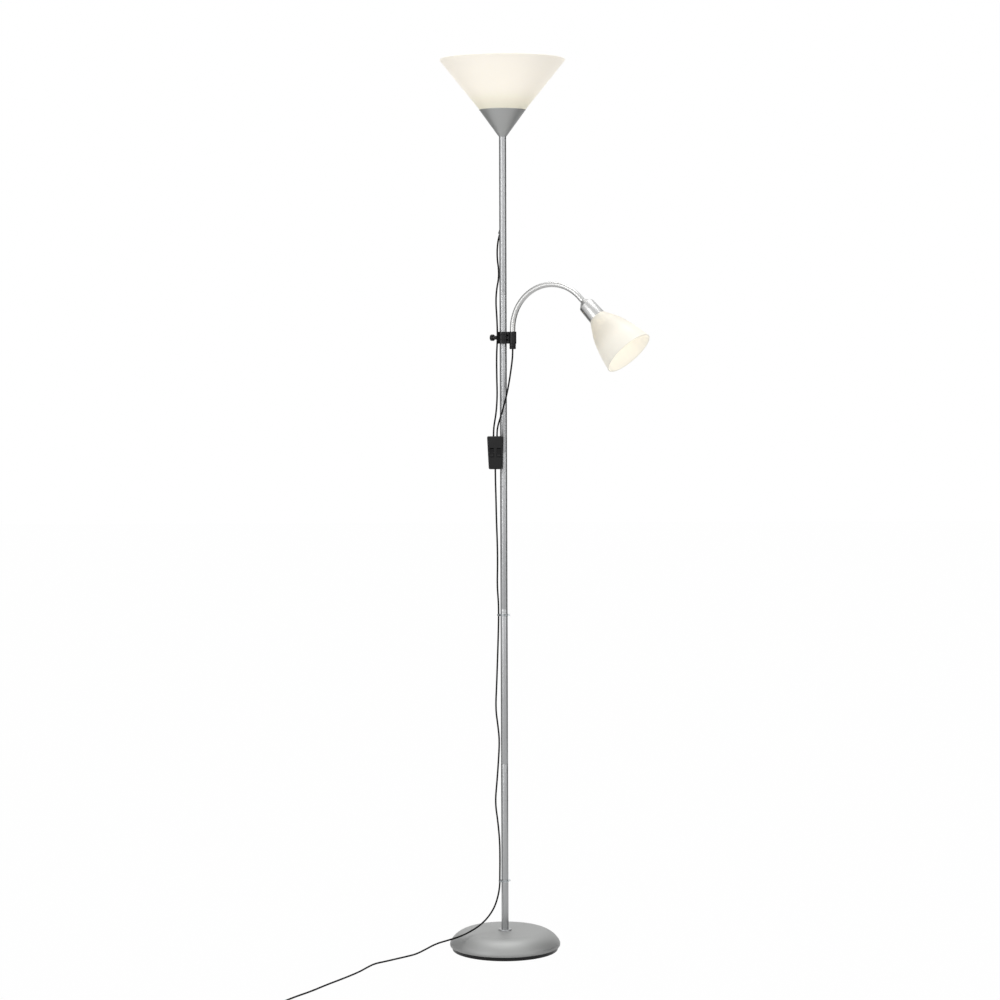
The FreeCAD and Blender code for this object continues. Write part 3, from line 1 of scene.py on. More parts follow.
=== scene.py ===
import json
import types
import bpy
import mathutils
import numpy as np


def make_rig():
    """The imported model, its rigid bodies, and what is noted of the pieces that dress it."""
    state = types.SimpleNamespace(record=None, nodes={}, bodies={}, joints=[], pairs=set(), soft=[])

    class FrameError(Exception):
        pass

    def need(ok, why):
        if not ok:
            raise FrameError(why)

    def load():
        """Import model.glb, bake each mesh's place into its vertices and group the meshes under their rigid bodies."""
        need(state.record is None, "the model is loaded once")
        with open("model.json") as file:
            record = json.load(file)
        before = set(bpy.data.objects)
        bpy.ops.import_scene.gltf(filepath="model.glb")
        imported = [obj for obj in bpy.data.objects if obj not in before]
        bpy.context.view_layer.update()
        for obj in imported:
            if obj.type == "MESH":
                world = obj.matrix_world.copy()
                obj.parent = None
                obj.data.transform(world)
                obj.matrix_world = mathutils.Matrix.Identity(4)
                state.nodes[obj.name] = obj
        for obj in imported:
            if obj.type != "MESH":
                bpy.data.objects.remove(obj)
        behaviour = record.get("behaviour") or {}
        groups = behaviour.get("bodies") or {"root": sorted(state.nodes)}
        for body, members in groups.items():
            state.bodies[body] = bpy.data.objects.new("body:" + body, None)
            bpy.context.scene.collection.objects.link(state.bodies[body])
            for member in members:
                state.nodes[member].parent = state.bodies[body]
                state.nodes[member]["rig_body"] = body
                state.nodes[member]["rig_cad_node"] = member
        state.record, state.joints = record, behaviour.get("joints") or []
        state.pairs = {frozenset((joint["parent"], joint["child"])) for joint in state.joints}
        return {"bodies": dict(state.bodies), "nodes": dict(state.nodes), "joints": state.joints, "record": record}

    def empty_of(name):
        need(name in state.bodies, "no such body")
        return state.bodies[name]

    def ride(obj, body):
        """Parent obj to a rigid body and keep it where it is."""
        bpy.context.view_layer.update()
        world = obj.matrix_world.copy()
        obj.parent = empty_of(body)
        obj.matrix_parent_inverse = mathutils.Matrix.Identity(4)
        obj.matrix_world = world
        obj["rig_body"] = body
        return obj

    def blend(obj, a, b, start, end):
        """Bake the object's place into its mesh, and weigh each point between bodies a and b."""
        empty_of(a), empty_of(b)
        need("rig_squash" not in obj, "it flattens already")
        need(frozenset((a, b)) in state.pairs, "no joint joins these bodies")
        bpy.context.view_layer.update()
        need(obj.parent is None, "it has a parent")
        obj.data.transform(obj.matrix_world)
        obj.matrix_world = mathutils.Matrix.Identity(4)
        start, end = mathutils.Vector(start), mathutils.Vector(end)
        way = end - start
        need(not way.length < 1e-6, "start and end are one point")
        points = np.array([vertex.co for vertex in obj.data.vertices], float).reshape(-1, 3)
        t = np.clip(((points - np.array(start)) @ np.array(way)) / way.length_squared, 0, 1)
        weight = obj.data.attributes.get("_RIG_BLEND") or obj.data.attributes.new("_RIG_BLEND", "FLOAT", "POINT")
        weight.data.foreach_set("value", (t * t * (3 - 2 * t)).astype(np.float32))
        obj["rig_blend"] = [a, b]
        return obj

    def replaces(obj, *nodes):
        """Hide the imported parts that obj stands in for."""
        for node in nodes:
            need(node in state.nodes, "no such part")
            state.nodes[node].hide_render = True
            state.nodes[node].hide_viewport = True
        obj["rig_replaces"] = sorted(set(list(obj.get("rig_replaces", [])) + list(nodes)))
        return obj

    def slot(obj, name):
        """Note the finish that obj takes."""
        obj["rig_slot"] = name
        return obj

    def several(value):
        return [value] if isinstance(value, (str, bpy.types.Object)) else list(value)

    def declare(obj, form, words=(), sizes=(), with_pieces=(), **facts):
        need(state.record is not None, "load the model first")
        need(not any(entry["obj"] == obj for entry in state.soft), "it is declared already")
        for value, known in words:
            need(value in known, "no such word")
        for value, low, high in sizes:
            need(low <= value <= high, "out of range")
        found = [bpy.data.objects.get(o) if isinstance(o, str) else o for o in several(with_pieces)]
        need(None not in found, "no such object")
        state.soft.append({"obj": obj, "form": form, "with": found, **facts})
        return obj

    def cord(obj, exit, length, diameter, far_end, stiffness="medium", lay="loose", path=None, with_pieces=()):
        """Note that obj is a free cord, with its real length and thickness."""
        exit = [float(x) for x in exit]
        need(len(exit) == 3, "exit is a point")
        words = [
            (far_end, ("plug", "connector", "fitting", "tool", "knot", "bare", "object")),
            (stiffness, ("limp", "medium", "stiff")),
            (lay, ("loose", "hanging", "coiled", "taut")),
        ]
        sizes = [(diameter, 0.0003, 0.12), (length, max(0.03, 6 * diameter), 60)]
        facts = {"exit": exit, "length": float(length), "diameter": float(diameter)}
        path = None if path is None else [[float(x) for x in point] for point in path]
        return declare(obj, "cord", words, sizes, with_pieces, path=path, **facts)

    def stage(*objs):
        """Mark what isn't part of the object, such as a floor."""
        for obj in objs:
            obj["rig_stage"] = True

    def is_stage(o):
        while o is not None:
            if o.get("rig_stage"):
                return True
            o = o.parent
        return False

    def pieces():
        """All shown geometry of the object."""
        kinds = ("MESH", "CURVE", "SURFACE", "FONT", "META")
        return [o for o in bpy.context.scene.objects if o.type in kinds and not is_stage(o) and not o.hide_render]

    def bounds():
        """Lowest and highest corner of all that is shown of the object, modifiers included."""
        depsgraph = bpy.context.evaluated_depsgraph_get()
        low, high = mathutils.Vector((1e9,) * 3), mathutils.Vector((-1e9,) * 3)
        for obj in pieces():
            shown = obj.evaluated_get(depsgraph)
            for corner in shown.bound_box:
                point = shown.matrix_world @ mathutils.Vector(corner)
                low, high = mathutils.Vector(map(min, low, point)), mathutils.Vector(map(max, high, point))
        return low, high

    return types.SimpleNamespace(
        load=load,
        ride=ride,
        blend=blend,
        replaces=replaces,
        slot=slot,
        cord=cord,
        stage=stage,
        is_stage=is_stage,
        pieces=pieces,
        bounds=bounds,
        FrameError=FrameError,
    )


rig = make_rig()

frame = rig.load()

import json
import logging
import math
from collections.abc import Callable, Sequence
from dataclasses import dataclass, field
from enum import Enum

import bpy
from mathutils import Matrix, Vector

CAD_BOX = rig.bounds()
LOG = logging.getLogger("floor_lamp")
UP = Vector((0, 0, 1))
MM = 0.001
WELD = MM / 1000      # vertices nearer than this are merged
NEAR = MM / 10        # places nearer than this count as the same
LAMP_COLOUR = "FFF0DA"  # the warm white of both bulbs
Outline = list[tuple[float, float]]


# ---------------------------------------------------------------------------
# Finishes
# ---------------------------------------------------------------------------
def linear(colour: str) -> tuple[float, float, float, float]:
    """Turns an sRGB hex value into linear light.

    Args:
        colour: six hex digits, such as "A9ABAD".

    Returns:
        Red, green, blue and an alpha of 1.
    """
    parts = [int(colour[i:i + 2], 16) / 255 for i in (0, 2, 4)]
    light = [c / 12.92 if c <= 0.04045 else ((c + 0.055) / 1.055) ** 2.4 for c in parts]
    return (light[0], light[1], light[2], 1.0)


def add_node(tree: bpy.types.NodeTree, kind: str, settings: dict | None = None,
             links: dict | None = None) -> bpy.types.Node:
    """Adds a node with its settings and links.

    Args:
        tree: the material's node tree.
        kind: the node's type name.
        settings: properties or unlinked inputs of the node, by name.
        links: sockets of other nodes, by the name of the input they feed.

    Returns:
        The new node.
    """
    node = tree.nodes.new(kind)
    for key, value in (settings or {}).items():
        if isinstance(key, str) and hasattr(node, key):
            setattr(node, key, value)
        else:
            node.inputs[key].default_value = value
    for key, socket in (links or {}).items():
        tree.links.new(socket, node.inputs[key])
    return node


@dataclass(frozen=True)
class Finish:
    """One surface finish: a shader with a fine grain in its colour, gloss and relief."""

    name: str
    colour: str
    second_colour: str
    roughness: float
    metallic: float = 0.0
    grain_mm: float = 1.0
    relief_mm: float = 0.0
    gloss_spread: float = 0.06
    ior: float = 1.5
    coat: float = 0.0

    def material(self) -> bpy.types.Material:
        """Returns the finish's material, made once."""
        found = bpy.data.materials.get(self.name)
        if found is not None:
            return found
        made = bpy.data.materials.new(self.name)
        made.use_nodes = True
        tree = made.node_tree
        tree.nodes.clear()
        shader = add_node(tree, "ShaderNodeBsdfPrincipled", {
            "Metallic": self.metallic,
            "Coat Weight": self.coat,
            "Coat Roughness": 0.25,
        })
        if self.metallic == 0:
            shader.inputs["IOR"].default_value = self.ior
        where = add_node(tree, "ShaderNodeTexCoord")
        self.dress(tree, shader, where.outputs["Object"])
        self.output(tree, shader)
        return made

    def output(self, tree: bpy.types.NodeTree, shader: bpy.types.Node) -> None:
        """Links the shader to the material's output."""
        add_node(tree, "ShaderNodeOutputMaterial", links={"Surface": shader.outputs[0]})

    def dress(self, tree: bpy.types.NodeTree, shader: bpy.types.Node,
              where: bpy.types.NodeSocket) -> None:
        """Adds the grain to the shader's colour, roughness and relief.

        Args:
            tree: the material's node tree.
            shader: the Principled shader.
            where: the piece's own coordinates.
        """
        grain = add_node(tree, "ShaderNodeTexNoise", {
            "Scale": 1 / (self.grain_mm * MM),
            "Detail": 3.0,
            "Roughness": 0.6,
        }, {"Vector": where})
        patches = add_node(tree, "ShaderNodeTexNoise", {"Scale": 9.0, "Detail": 2.0}, {"Vector": where})
        blend = add_node(tree, "ShaderNodeMath", {"operation": "MULTIPLY"}, {
            0: grain.outputs["Fac"],
            1: patches.outputs["Fac"],
        })
        spread = add_node(tree, "ShaderNodeMapRange", {
            "From Min": 0.1,
            "From Max": 0.45,
        }, {"Value": blend.outputs[0]})
        tint = add_node(tree, "ShaderNodeMix", {"data_type": "RGBA"}, {"Factor": spread.outputs[0]})
        tint.inputs[6].default_value = linear(self.colour)
        tint.inputs[7].default_value = linear(self.second_colour)
        tree.links.new(tint.outputs[2], shader.inputs["Base Color"])
        gloss = add_node(tree, "ShaderNodeMapRange", {
            "To Min": self.roughness - self.gloss_spread,
            "To Max": self.roughness + self.gloss_spread,
        }, {"Value": grain.outputs["Fac"]})
        tree.links.new(gloss.outputs[0], shader.inputs["Roughness"])
        if self.relief_mm:
            relief = add_node(tree, "ShaderNodeBump", {
                "Strength": 0.6,
                "Distance": self.relief_mm * MM,
            }, {"Height": grain.outputs["Fac"]})
            tree.links.new(relief.outputs[0], shader.inputs["Normal"])


@dataclass(frozen=True)
class LitShade(Finish):
    """An opal shade or bulb lit from inside: its glow changes with the distance from a point. On a shade the glow is
    painted light, in place of the bulb's light through the wall.
    """

    glow_centre: tuple[float, float, float] = (0.0, 0.0, 0.0)
    near_mm: float = 30.0
    far_mm: float = 120.0
    near_glow: str = "ECE9E0"
    far_glow: str = "8A877E"
    glow: float = 0.5
    passing: float = 0.35

    def dress(self, tree: bpy.types.NodeTree, shader: bpy.types.Node,
              where: bpy.types.NodeSocket) -> None:
        """Adds the grain, and a glow that changes with the distance from the glow's centre: painted light on a shade.
        """
        super().dress(tree, shader, where)
        # Painted glow: the emission goes from near_glow to far_glow with the distance from the glow's centre.
        away = add_node(tree, "ShaderNodeVectorMath", {"operation": "DISTANCE"}, {0: where})
        away.inputs[1].default_value = self.glow_centre
        fall = add_node(tree, "ShaderNodeMapRange", {
            "interpolation_type": "SMOOTHSTEP",
            "From Min": self.near_mm * MM,
            "From Max": self.far_mm * MM,
        }, {"Value": away.outputs["Value"]})
        tone = add_node(tree, "ShaderNodeMix", {"data_type": "RGBA"}, {"Factor": fall.outputs[0]})
        tone.inputs[6].default_value = linear(self.near_glow)
        tone.inputs[7].default_value = linear(self.far_glow)
        tree.links.new(tone.outputs[2], shader.inputs["Emission Color"])
        shader.inputs["Emission Strength"].default_value = self.glow

    def output(self, tree: bpy.types.NodeTree, shader: bpy.types.Node) -> None:
        """Lets part of the bulb's light pass through the wall."""
        through = add_node(tree, "ShaderNodeBsdfTranslucent", {"Color": linear(self.colour)})
        both = add_node(tree, "ShaderNodeMixShader", {"Fac": self.passing}, {
            1: shader.outputs[0],
            2: through.outputs[0],
        })
        add_node(tree, "ShaderNodeOutputMaterial", links={"Surface": both.outputs[0]})


@dataclass(frozen=True)
class ClearFinish(Finish):
    """A clear moulded plastic that lets light through."""

    see_through: float = 0.85

    def dress(self, tree: bpy.types.NodeTree, shader: bpy.types.Node,
              where: bpy.types.NodeSocket) -> None:
        """Adds the grain and the transmission."""
        super().dress(tree, shader, where)
        shader.inputs["Transmission Weight"].default_value = self.see_through


class Finishes(Enum):
    """Every finish on the lamp."""

    # Powder-coated steel tube, silver: fine metal flake under a satin coat.
    SILVER_PAINT = Finish("silver_powder_coat", "A4A5A6", "A9AAAB", roughness=0.34, metallic=0.7,
                          grain_mm=0.45, gloss_spread=0.015, coat=0.12)
    # The same coat on the sheet cup, sprayed duller, so its sides darken softly.
    CUP_PAINT = Finish("silver_cup_coat", "BDBEBD", "C1C2C1", roughness=0.52, metallic=0.45,
                       grain_mm=0.45, gloss_spread=0.02)
    # The same coat sprayed thicker on the foot, so it looks more even and less like metal.
    FOOT_PAINT = Finish("silver_foot_coat", "A3A4A3", "A9AAA9", roughness=0.5, metallic=0.3,
                        grain_mm=0.5, relief_mm=0.008, gloss_spread=0.03)
    # Satin nickel on the bendable neck's sleeve and the reading head's cap: brighter than the pole.
    NECK_NICKEL = Finish("satin_nickel_sleeve", "B9B9B8", "BEBEBD", roughness=0.36, metallic=0.9,
                         grain_mm=0.4, gloss_spread=0.015)
    # Moulded ABS with a fine spark-eroded texture: near black with soft highlights. Its index of
    # refraction and the cords' are set below the real ones, to come near the photograph's dark tone.
    BLACK_ABS = Finish("black_moulded_abs", "050506", "09090A", roughness=0.36, grain_mm=0.35,
                       relief_mm=0.01, gloss_spread=0.05, ior=1.33)
    # Soft PVC jacket of the cords: black with hardly any sheen.
    CORD_PVC = Finish("black_pvc_jacket", "020202", "050505", roughness=0.62, grain_mm=0.8,
                      relief_mm=0.01, gloss_spread=0.08, ior=1.22)
    # Natural rubber, dull.
    RUBBER = Finish("black_rubber", "131313", "1C1C1C", roughness=0.7, grain_mm=0.5, relief_mm=0.02,
                    gloss_spread=0.08)
    # White glass-filled PBT of the lampholders: slightly warm, faintly shiny.
    WHITE_PBT = Finish("white_lampholder_pbt", "D9D8D2", "E4E3DE", roughness=0.4, grain_mm=0.6,
                       relief_mm=0.01)
    # Zinc-plated steel of nuts, stud and screws: bright, slightly mottled.
    ZINC_STEEL = Finish("zinc_plated_steel", "A8A9A6", "BDBEB9", roughness=0.32, metallic=1.0,
                        grain_mm=0.5, relief_mm=0.005)
    # Sheet brass of the contacts.
    BRASS = Finish("sheet_brass", "C8A45A", "D6B671", roughness=0.28, metallic=1.0, grain_mm=0.6)
    # Grey cast iron of the weight, rough from the sand mould.
    CAST_IRON = Finish("sand_cast_iron", "3A3A3A", "4A4A49", roughness=0.75, metallic=0.6,
                       grain_mm=2.0, relief_mm=0.3, gloss_spread=0.1)
    # Rolled aluminium of the bulbs' screw caps.
    BULB_ALUMINIUM = Finish("rolled_aluminium", "B9B9B7", "C6C6C4", roughness=0.3, metallic=1.0,
                            grain_mm=0.6)
    # Nickel-plated brass of the plug's pins: the smoothest metal here.
    PIN_NICKEL = Finish("plated_pin_nickel", "C2BFB8", "CECBC4", roughness=0.2, metallic=1.0,
                        grain_mm=0.6)
    # Clear polycarbonate of the clips: shows the pole and the cord through it.
    CLEAR_PC = ClearFinish("clear_polycarbonate", "E8ECEE", "F2F5F6", roughness=0.12, grain_mm=3.0,
                           gloss_spread=0.03, ior=1.58)

    def material(self) -> bpy.types.Material:
        """Returns the finish's material."""
        return self.value.material()


# ---------------------------------------------------------------------------
# Modelling by hand, in edit mode
# ---------------------------------------------------------------------------
def deselect() -> None:
    """Leaves edit mode and deselects every object."""
    if bpy.context.object is not None and bpy.context.object.mode != "OBJECT":
        bpy.ops.object.mode_set(mode="OBJECT")
    bpy.ops.object.select_all(action="DESELECT")


def choose(piece: bpy.types.Object) -> None:
    """Makes one piece the only selected and the active object."""
    deselect()
    piece.select_set(True)
    bpy.context.view_layer.objects.active = piece


def arc(x: float, y: float, radius: float, first: float, last: float, steps: int) -> Outline:
    """Returns points of an arc in an outline.

    Args:
        x, y: the arc's centre.
        radius: its radius.
        first, last: its angles in degrees, from the outline's first axis.
        steps: the number of stretches.

    Returns:
        The points from first to last.
    """
    points = []
    for index in range(steps + 1):
        angle = math.radians(first + (last - first) * index / steps)
        points.append((x + radius * math.cos(angle), y + radius * math.sin(angle)))
    return points


def drawn(name: str, points: Sequence[Vector], closed: bool = False) -> bpy.types.Object:
    """Draws a line of vertices, each extruded from the one before.

    Args:
        name: the new object's name.
        points: the corners of the line.
        closed: whether the line returns to its start.

    Returns:
        The object, in edit mode with all of it selected.
    """
    deselect()
    bpy.ops.mesh.primitive_plane_add(size=MM)
    piece = bpy.context.object
    piece.name = name
    bpy.ops.object.mode_set(mode="EDIT")
    bpy.ops.mesh.select_mode(type="VERT")
    bpy.ops.mesh.select_all(action="SELECT")
    bpy.ops.mesh.merge(type="CENTER")
    bpy.ops.transform.translate(value=points[0])
    route = list(points[1:]) + ([points[0]] if closed else [])
    last = points[0]
    for point in route:
        bpy.ops.mesh.extrude_region_move(TRANSFORM_OT_translate={"value": point - last})
        last = point
    bpy.ops.mesh.select_all(action="SELECT")
    if closed:
        bpy.ops.mesh.remove_doubles(threshold=WELD)
    return piece


def tidy(piece: bpy.types.Object, smooth: float = 32.0) -> bpy.types.Object:
    """Merges doubles, turns faces outwards and smooths all but the sharp edges."""
    choose(piece)
    bpy.ops.object.mode_set(mode="EDIT")
    bpy.ops.mesh.select_all(action="SELECT")
    bpy.ops.mesh.remove_doubles(threshold=WELD)
    bpy.ops.mesh.normals_make_consistent(inside=False)
    bpy.ops.object.mode_set(mode="OBJECT")
    bpy.ops.object.shade_smooth_by_angle(angle=math.radians(smooth))
    return piece


def spun(name: str, outline: Outline, steps: int = 96, smooth: float = 32.0) -> bpy.types.Object:
    """Spins a closed outline of radius and height about Z.

    Args:
        name: the piece's name.
        outline: corners of radius and height, in metres.
        steps: stretches round the turn.
        smooth: edges flatter than this many degrees are smooth.

    Returns:
        The turned piece.
    """
    piece = drawn(name, [Vector((x, 0, z)) for x, z in outline], closed=True)
    bpy.ops.mesh.spin(steps=steps, angle=math.tau, center=(0, 0, 0), axis=(0, 0, 1))
    return tidy(piece, smooth)


def slab(name: str, outline: Outline, depth: float, place: Matrix) -> bpy.types.Object:
    """Fills a closed outline and extrudes it.

    Args:
        name: the piece's name.
        outline: corners in the place's own X and Y.
        depth: the thickness along the place's Z.
        place: where the outline's frame lies.

    Returns:
        The piece, with its place in its mesh.
    """
    piece = drawn(name, [Vector((x, y, 0)) for x, y in outline], closed=True)
    bpy.ops.mesh.edge_face_add()
    bpy.ops.mesh.extrude_region_move(TRANSFORM_OT_translate={"value": (0, 0, depth)})
    bpy.ops.object.mode_set(mode="OBJECT")
    return tidy(put(piece, place))


def put(piece: bpy.types.Object, place: Matrix) -> bpy.types.Object:
    """Puts a piece in its place, and the place into its mesh."""
    choose(piece)
    piece.matrix_world = place
    bpy.ops.object.transform_apply(location=True, rotation=True, scale=True)
    return piece


def modified(piece: bpy.types.Object, kind: str, **settings) -> bpy.types.Object:
    """Adds a modifier with its settings and applies it."""
    choose(piece)
    added = piece.modifiers.new(kind.lower(), kind)
    for key, value in settings.items():
        setattr(added, key, value)
    bpy.ops.object.modifier_apply(modifier=added.name)
    return piece


def bevelled(piece: bpy.types.Object, width: float, segments: int = 3,
             angle: float = 35.0) -> bpy.types.Object:
    """Rounds a piece's sharp edges."""
    modified(piece, "BEVEL", width=width, segments=segments, limit_method="ANGLE",
             angle_limit=math.radians(angle), use_clamp_overlap=True)
    return tidy(piece)


def combined(base: bpy.types.Object, tool: bpy.types.Object, way: str) -> bpy.types.Object:
    """Welds a tool to a piece or cuts it out, and deletes the tool.

    Args:
        base: the piece that stays.
        tool: the piece that is used up.
        way: "UNION", "DIFFERENCE" or "INTERSECT".

    Returns:
        The changed piece.
    """
    modified(base, "BOOLEAN", object=tool, operation=way, solver="EXACT")
    bpy.data.objects.remove(tool)
    return tidy(base)


def rod(name: str, start: Vector, end: Vector, radius: float, steps: int = 48) -> bpy.types.Object:
    """Makes a plain round rod between two points, as a tool or a blank."""
    deselect()
    bpy.ops.mesh.primitive_cylinder_add(vertices=steps, radius=radius, depth=(end - start).length)
    piece = bpy.context.object
    piece.name = name
    turn = UP.rotation_difference(end - start).to_matrix().to_4x4()
    return put(piece, Matrix.Translation((start + end) / 2) @ turn)


def brick(name: str, low: Vector, high: Vector) -> bpy.types.Object:
    """Makes a plain box between two corners, as a tool or a blank."""
    deselect()
    bpy.ops.mesh.primitive_cube_add(size=1)
    piece = bpy.context.object
    piece.name = name
    return put(piece, Matrix.Translation((low + high) / 2) @ Matrix.Diagonal((*(high - low), 1)))


def moulded(piece: bpy.types.Object, grain: float, rounds: int = 6) -> bpy.types.Object:
    """Softens a welded blank's edges and corners as a moulding's are.

    Args:
        piece: the blank.
        grain: the size of the net that it is drawn over with.
        rounds: how often the net is smoothed.

    Returns:
        The softened piece.
    """
    modified(piece, "REMESH", mode="VOXEL", voxel_size=grain, adaptivity=0.0)
    modified(piece, "SMOOTH", factor=0.5, iterations=rounds)
    return tidy(piece, 60.0)


def shape_faces(piece: bpy.types.Object, wanted: Callable[[bpy.types.MeshPolygon], bool]) -> None:
    """Opens a piece in edit mode with the wanted faces selected."""
    choose(piece)
    bpy.ops.object.mode_set(mode="EDIT")
    bpy.ops.mesh.select_mode(type="FACE")
    bpy.ops.mesh.select_all(action="DESELECT")
    bpy.ops.object.mode_set(mode="OBJECT")
    for face in piece.data.polygons:
        face.select = wanted(face)
    bpy.ops.object.mode_set(mode="EDIT")


def shape_edges(piece: bpy.types.Object, wanted: Callable[[Vector, Vector], bool]) -> None:
    """Opens a piece in edit mode with the edges selected whose two ends are wanted."""
    choose(piece)
    bpy.ops.object.mode_set(mode="EDIT")
    bpy.ops.mesh.select_mode(type="EDGE")
    bpy.ops.mesh.select_all(action="DESELECT")
    bpy.ops.object.mode_set(mode="OBJECT")
    spots = [vertex.co for vertex in piece.data.vertices]
    for edge in piece.data.edges:
        edge.select = wanted(spots[edge.vertices[0]], spots[edge.vertices[1]])
    bpy.ops.object.mode_set(mode="EDIT")


def compass(azimuth: float) -> Vector:
    """Returns the level direction of a compass angle in degrees from +X."""
    return Vector((math.cos(math.radians(azimuth)), math.sin(math.radians(azimuth)), 0))


def upright(direction: Vector, place: Vector = Vector()) -> Matrix:
    """Returns a frame at a place whose Z runs along a direction."""
    return Matrix.Translation(place) @ UP.rotation_difference(direction).to_matrix().to_4x4()


def settle(piece: bpy.types.Object, body: str, slot: str, finish: Finishes | Finish,
           nodes: Sequence[str] = ()) -> bpy.types.Object:
    """Dresses a finished piece and makes it ride on its body.

    Args:
        piece: the piece, in place.
        body: the body that carries it.
        slot: the material slot of the record.
        finish: its finish.
        nodes: the solids that it stands for.

    Returns:
        The piece.
    """
    piece.data.materials.clear()
    piece.data.materials.append(finish.material())
    if piece.parent is None and "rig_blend" not in piece:
        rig.ride(piece, body)
    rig.slot(piece, slot)
    if nodes:
        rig.replaces(piece, *nodes)
    LOG.info("%s rides on %s", piece.name, body)
    return piece


def dress_nodes(finish: Finishes, *nodes: str) -> None:
    """Gives solids that stay a better finish."""
    for name in nodes:
        data = frame["nodes"][name].data
        data.materials.clear()
        data.materials.append(finish.material())


# ---------------------------------------------------------------------------
# Foot and pole
# ---------------------------------------------------------------------------
@dataclass
class Foot:
    """The domed cover, the tray under it, and the collar at the pole's foot."""

    radius: float = 0.1125
    belt: float = 0.011
    lip: float = 0.008
    rim_bend: float = 0.0115
    shoulder_bend: float = 0.0465
    shoulder_turn: float = 58.5
    wall: float = 0.0012
    hole: float = 0.00505
    tray_radius: float = 0.1075
    collar_radius: float = 0.0135
    collar_height: float = 0.0026
    pole_bottom: float = 0.0408
    pole_radius: float = 0.00725

    def crown(self) -> tuple[float, float, float]:
        """Returns the shoulder's centre, radius from the axis and height, and the dome's top."""
        turn = math.radians(self.shoulder_turn)
        joint_radius = self.radius - self.rim_bend * (1 - math.sin(turn))
        joint_height = self.belt + self.rim_bend * math.cos(turn)
        centre_radius = joint_radius - self.shoulder_bend * math.sin(turn)
        centre_height = joint_height - self.shoulder_bend * math.cos(turn)
        return centre_radius, centre_height, centre_height + self.shoulder_bend

    def cover(self) -> None:
        """Spins the cover from its hole over the shoulder and rim down to its rolled lip."""
        centre, height, top = self.crown()
        rim = self.radius - self.rim_bend
        steep = 90 - self.shoulder_turn
        roll = 0.0009
        outline = [(self.hole, top - self.wall), (self.hole, top)]
        outline += arc(centre, height, self.shoulder_bend, 90, steep, 20)
        outline += arc(rim, self.belt, self.rim_bend, steep, 0, 20)[1:]
        outline += [(self.radius - 0.0004, self.belt - 0.0024)]
        outline += arc(self.radius - 0.0018, self.lip + roll, roll, 0, -180, 8)
        outline += [(self.radius - self.wall - 0.0012, self.belt - 0.002)]
        outline += arc(rim, self.belt, self.rim_bend - self.wall, 0, steep, 16)
        outline += arc(centre, height, self.shoulder_bend - self.wall, steep, 90, 16)[1:]
        cover = spun("foot_cover", outline, steps=192)
        settle(cover, "stand", "foot_paint", Finishes.FOOT_PAINT, ["base_cover"])

    def tray(self) -> None:
        """Spins the black tray: underneath, a shallow hollow, a ring groove and a rounded edge."""
        radius = self.tray_radius
        groove = 0.0006
        outline = [(0, groove), (0.02, groove), (0.0206, 0)]
        outline += [(0.07, 0), (0.0706, groove), (0.0724, groove), (0.073, 0)]
        outline += arc(radius - 0.001, 0.001, 0.001, -90, 0, 6)
        outline += [(radius, self.lip + 0.0015), (radius - 0.0025, self.lip + 0.0015)]
        outline += [(radius - 0.0025, 0.0025), (0, 0.0025)]
        settle(spun("foot_tray", outline, steps=160), "stand", "black_plastic", Finishes.BLACK_ABS,
               ["base_tray"])

    def collar(self) -> None:
        """Spins the rounded collar that the pole stands in."""
        top = self.crown()[2]
        inner = self.pole_radius + 0.00005
        crest = top + self.collar_height
        outline = [(self.hole, top), (self.collar_radius - 0.0002, top)]
        outline += arc(self.collar_radius - 0.0012, top + 0.0012, 0.0012, -45, 62, 8)
        outline += [(self.collar_radius - 0.0034, crest - 0.0002), (inner + 0.0006, crest)]
        outline += [(inner, crest - 0.0004), (inner, self.pole_bottom), (self.hole, self.pole_bottom)]
        settle(spun("pole_foot_collar", outline, steps=96), "stand", "silver_paint", Finishes.SILVER_PAINT,
               ["pole_collar"])

    def build(self) -> None:
        """Makes the whole foot."""
        self.cover()
        self.tray()
        self.collar()
        dress_nodes(Finishes.CAST_IRON, "base_weight")
        dress_nodes(Finishes.ZINC_STEEL, "base_nut", "base_stud")


@dataclass
class Pole:
    """The sectional pole: tubes that meet over inner couplers, and the cord's hole."""

    radius: float = 0.00725
    wall: float = 0.001
    bottom: float = 0.0408
    first_joint: float = 0.381
    step: float = 0.31675
    top: float = 1.6465
    sections: int = 5
    chamfer: float = 0.00035
    hole_height: float = 1.456
    hole_azimuth: float = 140.0
    hole_slope: float = 22.0
    hole_radius: float = 0.0027

    def exit_line(self) -> tuple[Vector, Vector]:
        """Returns the middle of the cord's hole in the wall, and the cord's direction there."""
        out = compass(self.hole_azimuth)
        slope = math.radians(self.hole_slope)
        middle = out * (self.radius - self.wall / 2) + UP * self.hole_height
        return middle, out * math.sin(slope) - UP * math.cos(slope)

    def tube(self, index: int, low: float, high: float) -> None:
        """Spins one tube with softly broken ends.

        Args:
            index: the tube's number, from 1 at the foot.
            low, high: its ends.
        """
        bore = self.radius - self.wall
        soft = self.chamfer
        outline = [(bore, low)]
        outline += arc(self.radius - soft, low + soft, soft, -90, 0, 4)
        outline += arc(self.radius - soft, high - soft, soft, 0, 90, 4)
        outline += [(bore, high)]
        tube = spun("pole_section_%d" % index, outline, steps=64)
        if index == self.sections:
            middle, heading = self.exit_line()
            drill = rod("drill", middle - heading * 0.014, middle + heading * 0.026, self.hole_radius)
            combined(tube, drill, "DIFFERENCE")
        settle(tube, "stand", "silver_paint", Finishes.SILVER_PAINT, ["pole_tube_%d" % index])

    def build(self) -> None:
        """Makes the tubes and dresses what is inside them."""
        low = self.bottom
        for index in range(1, self.sections + 1):
            high = self.top if index == self.sections else self.first_joint + self.step * (index - 1)
            self.tube(index, low, high)
            low = high
        dress_nodes(Finishes.ZINC_STEEL, "pole_couplers", "top_nipple", "top_nut")
        dress_nodes(Finishes.RUBBER, "cord_grommet")


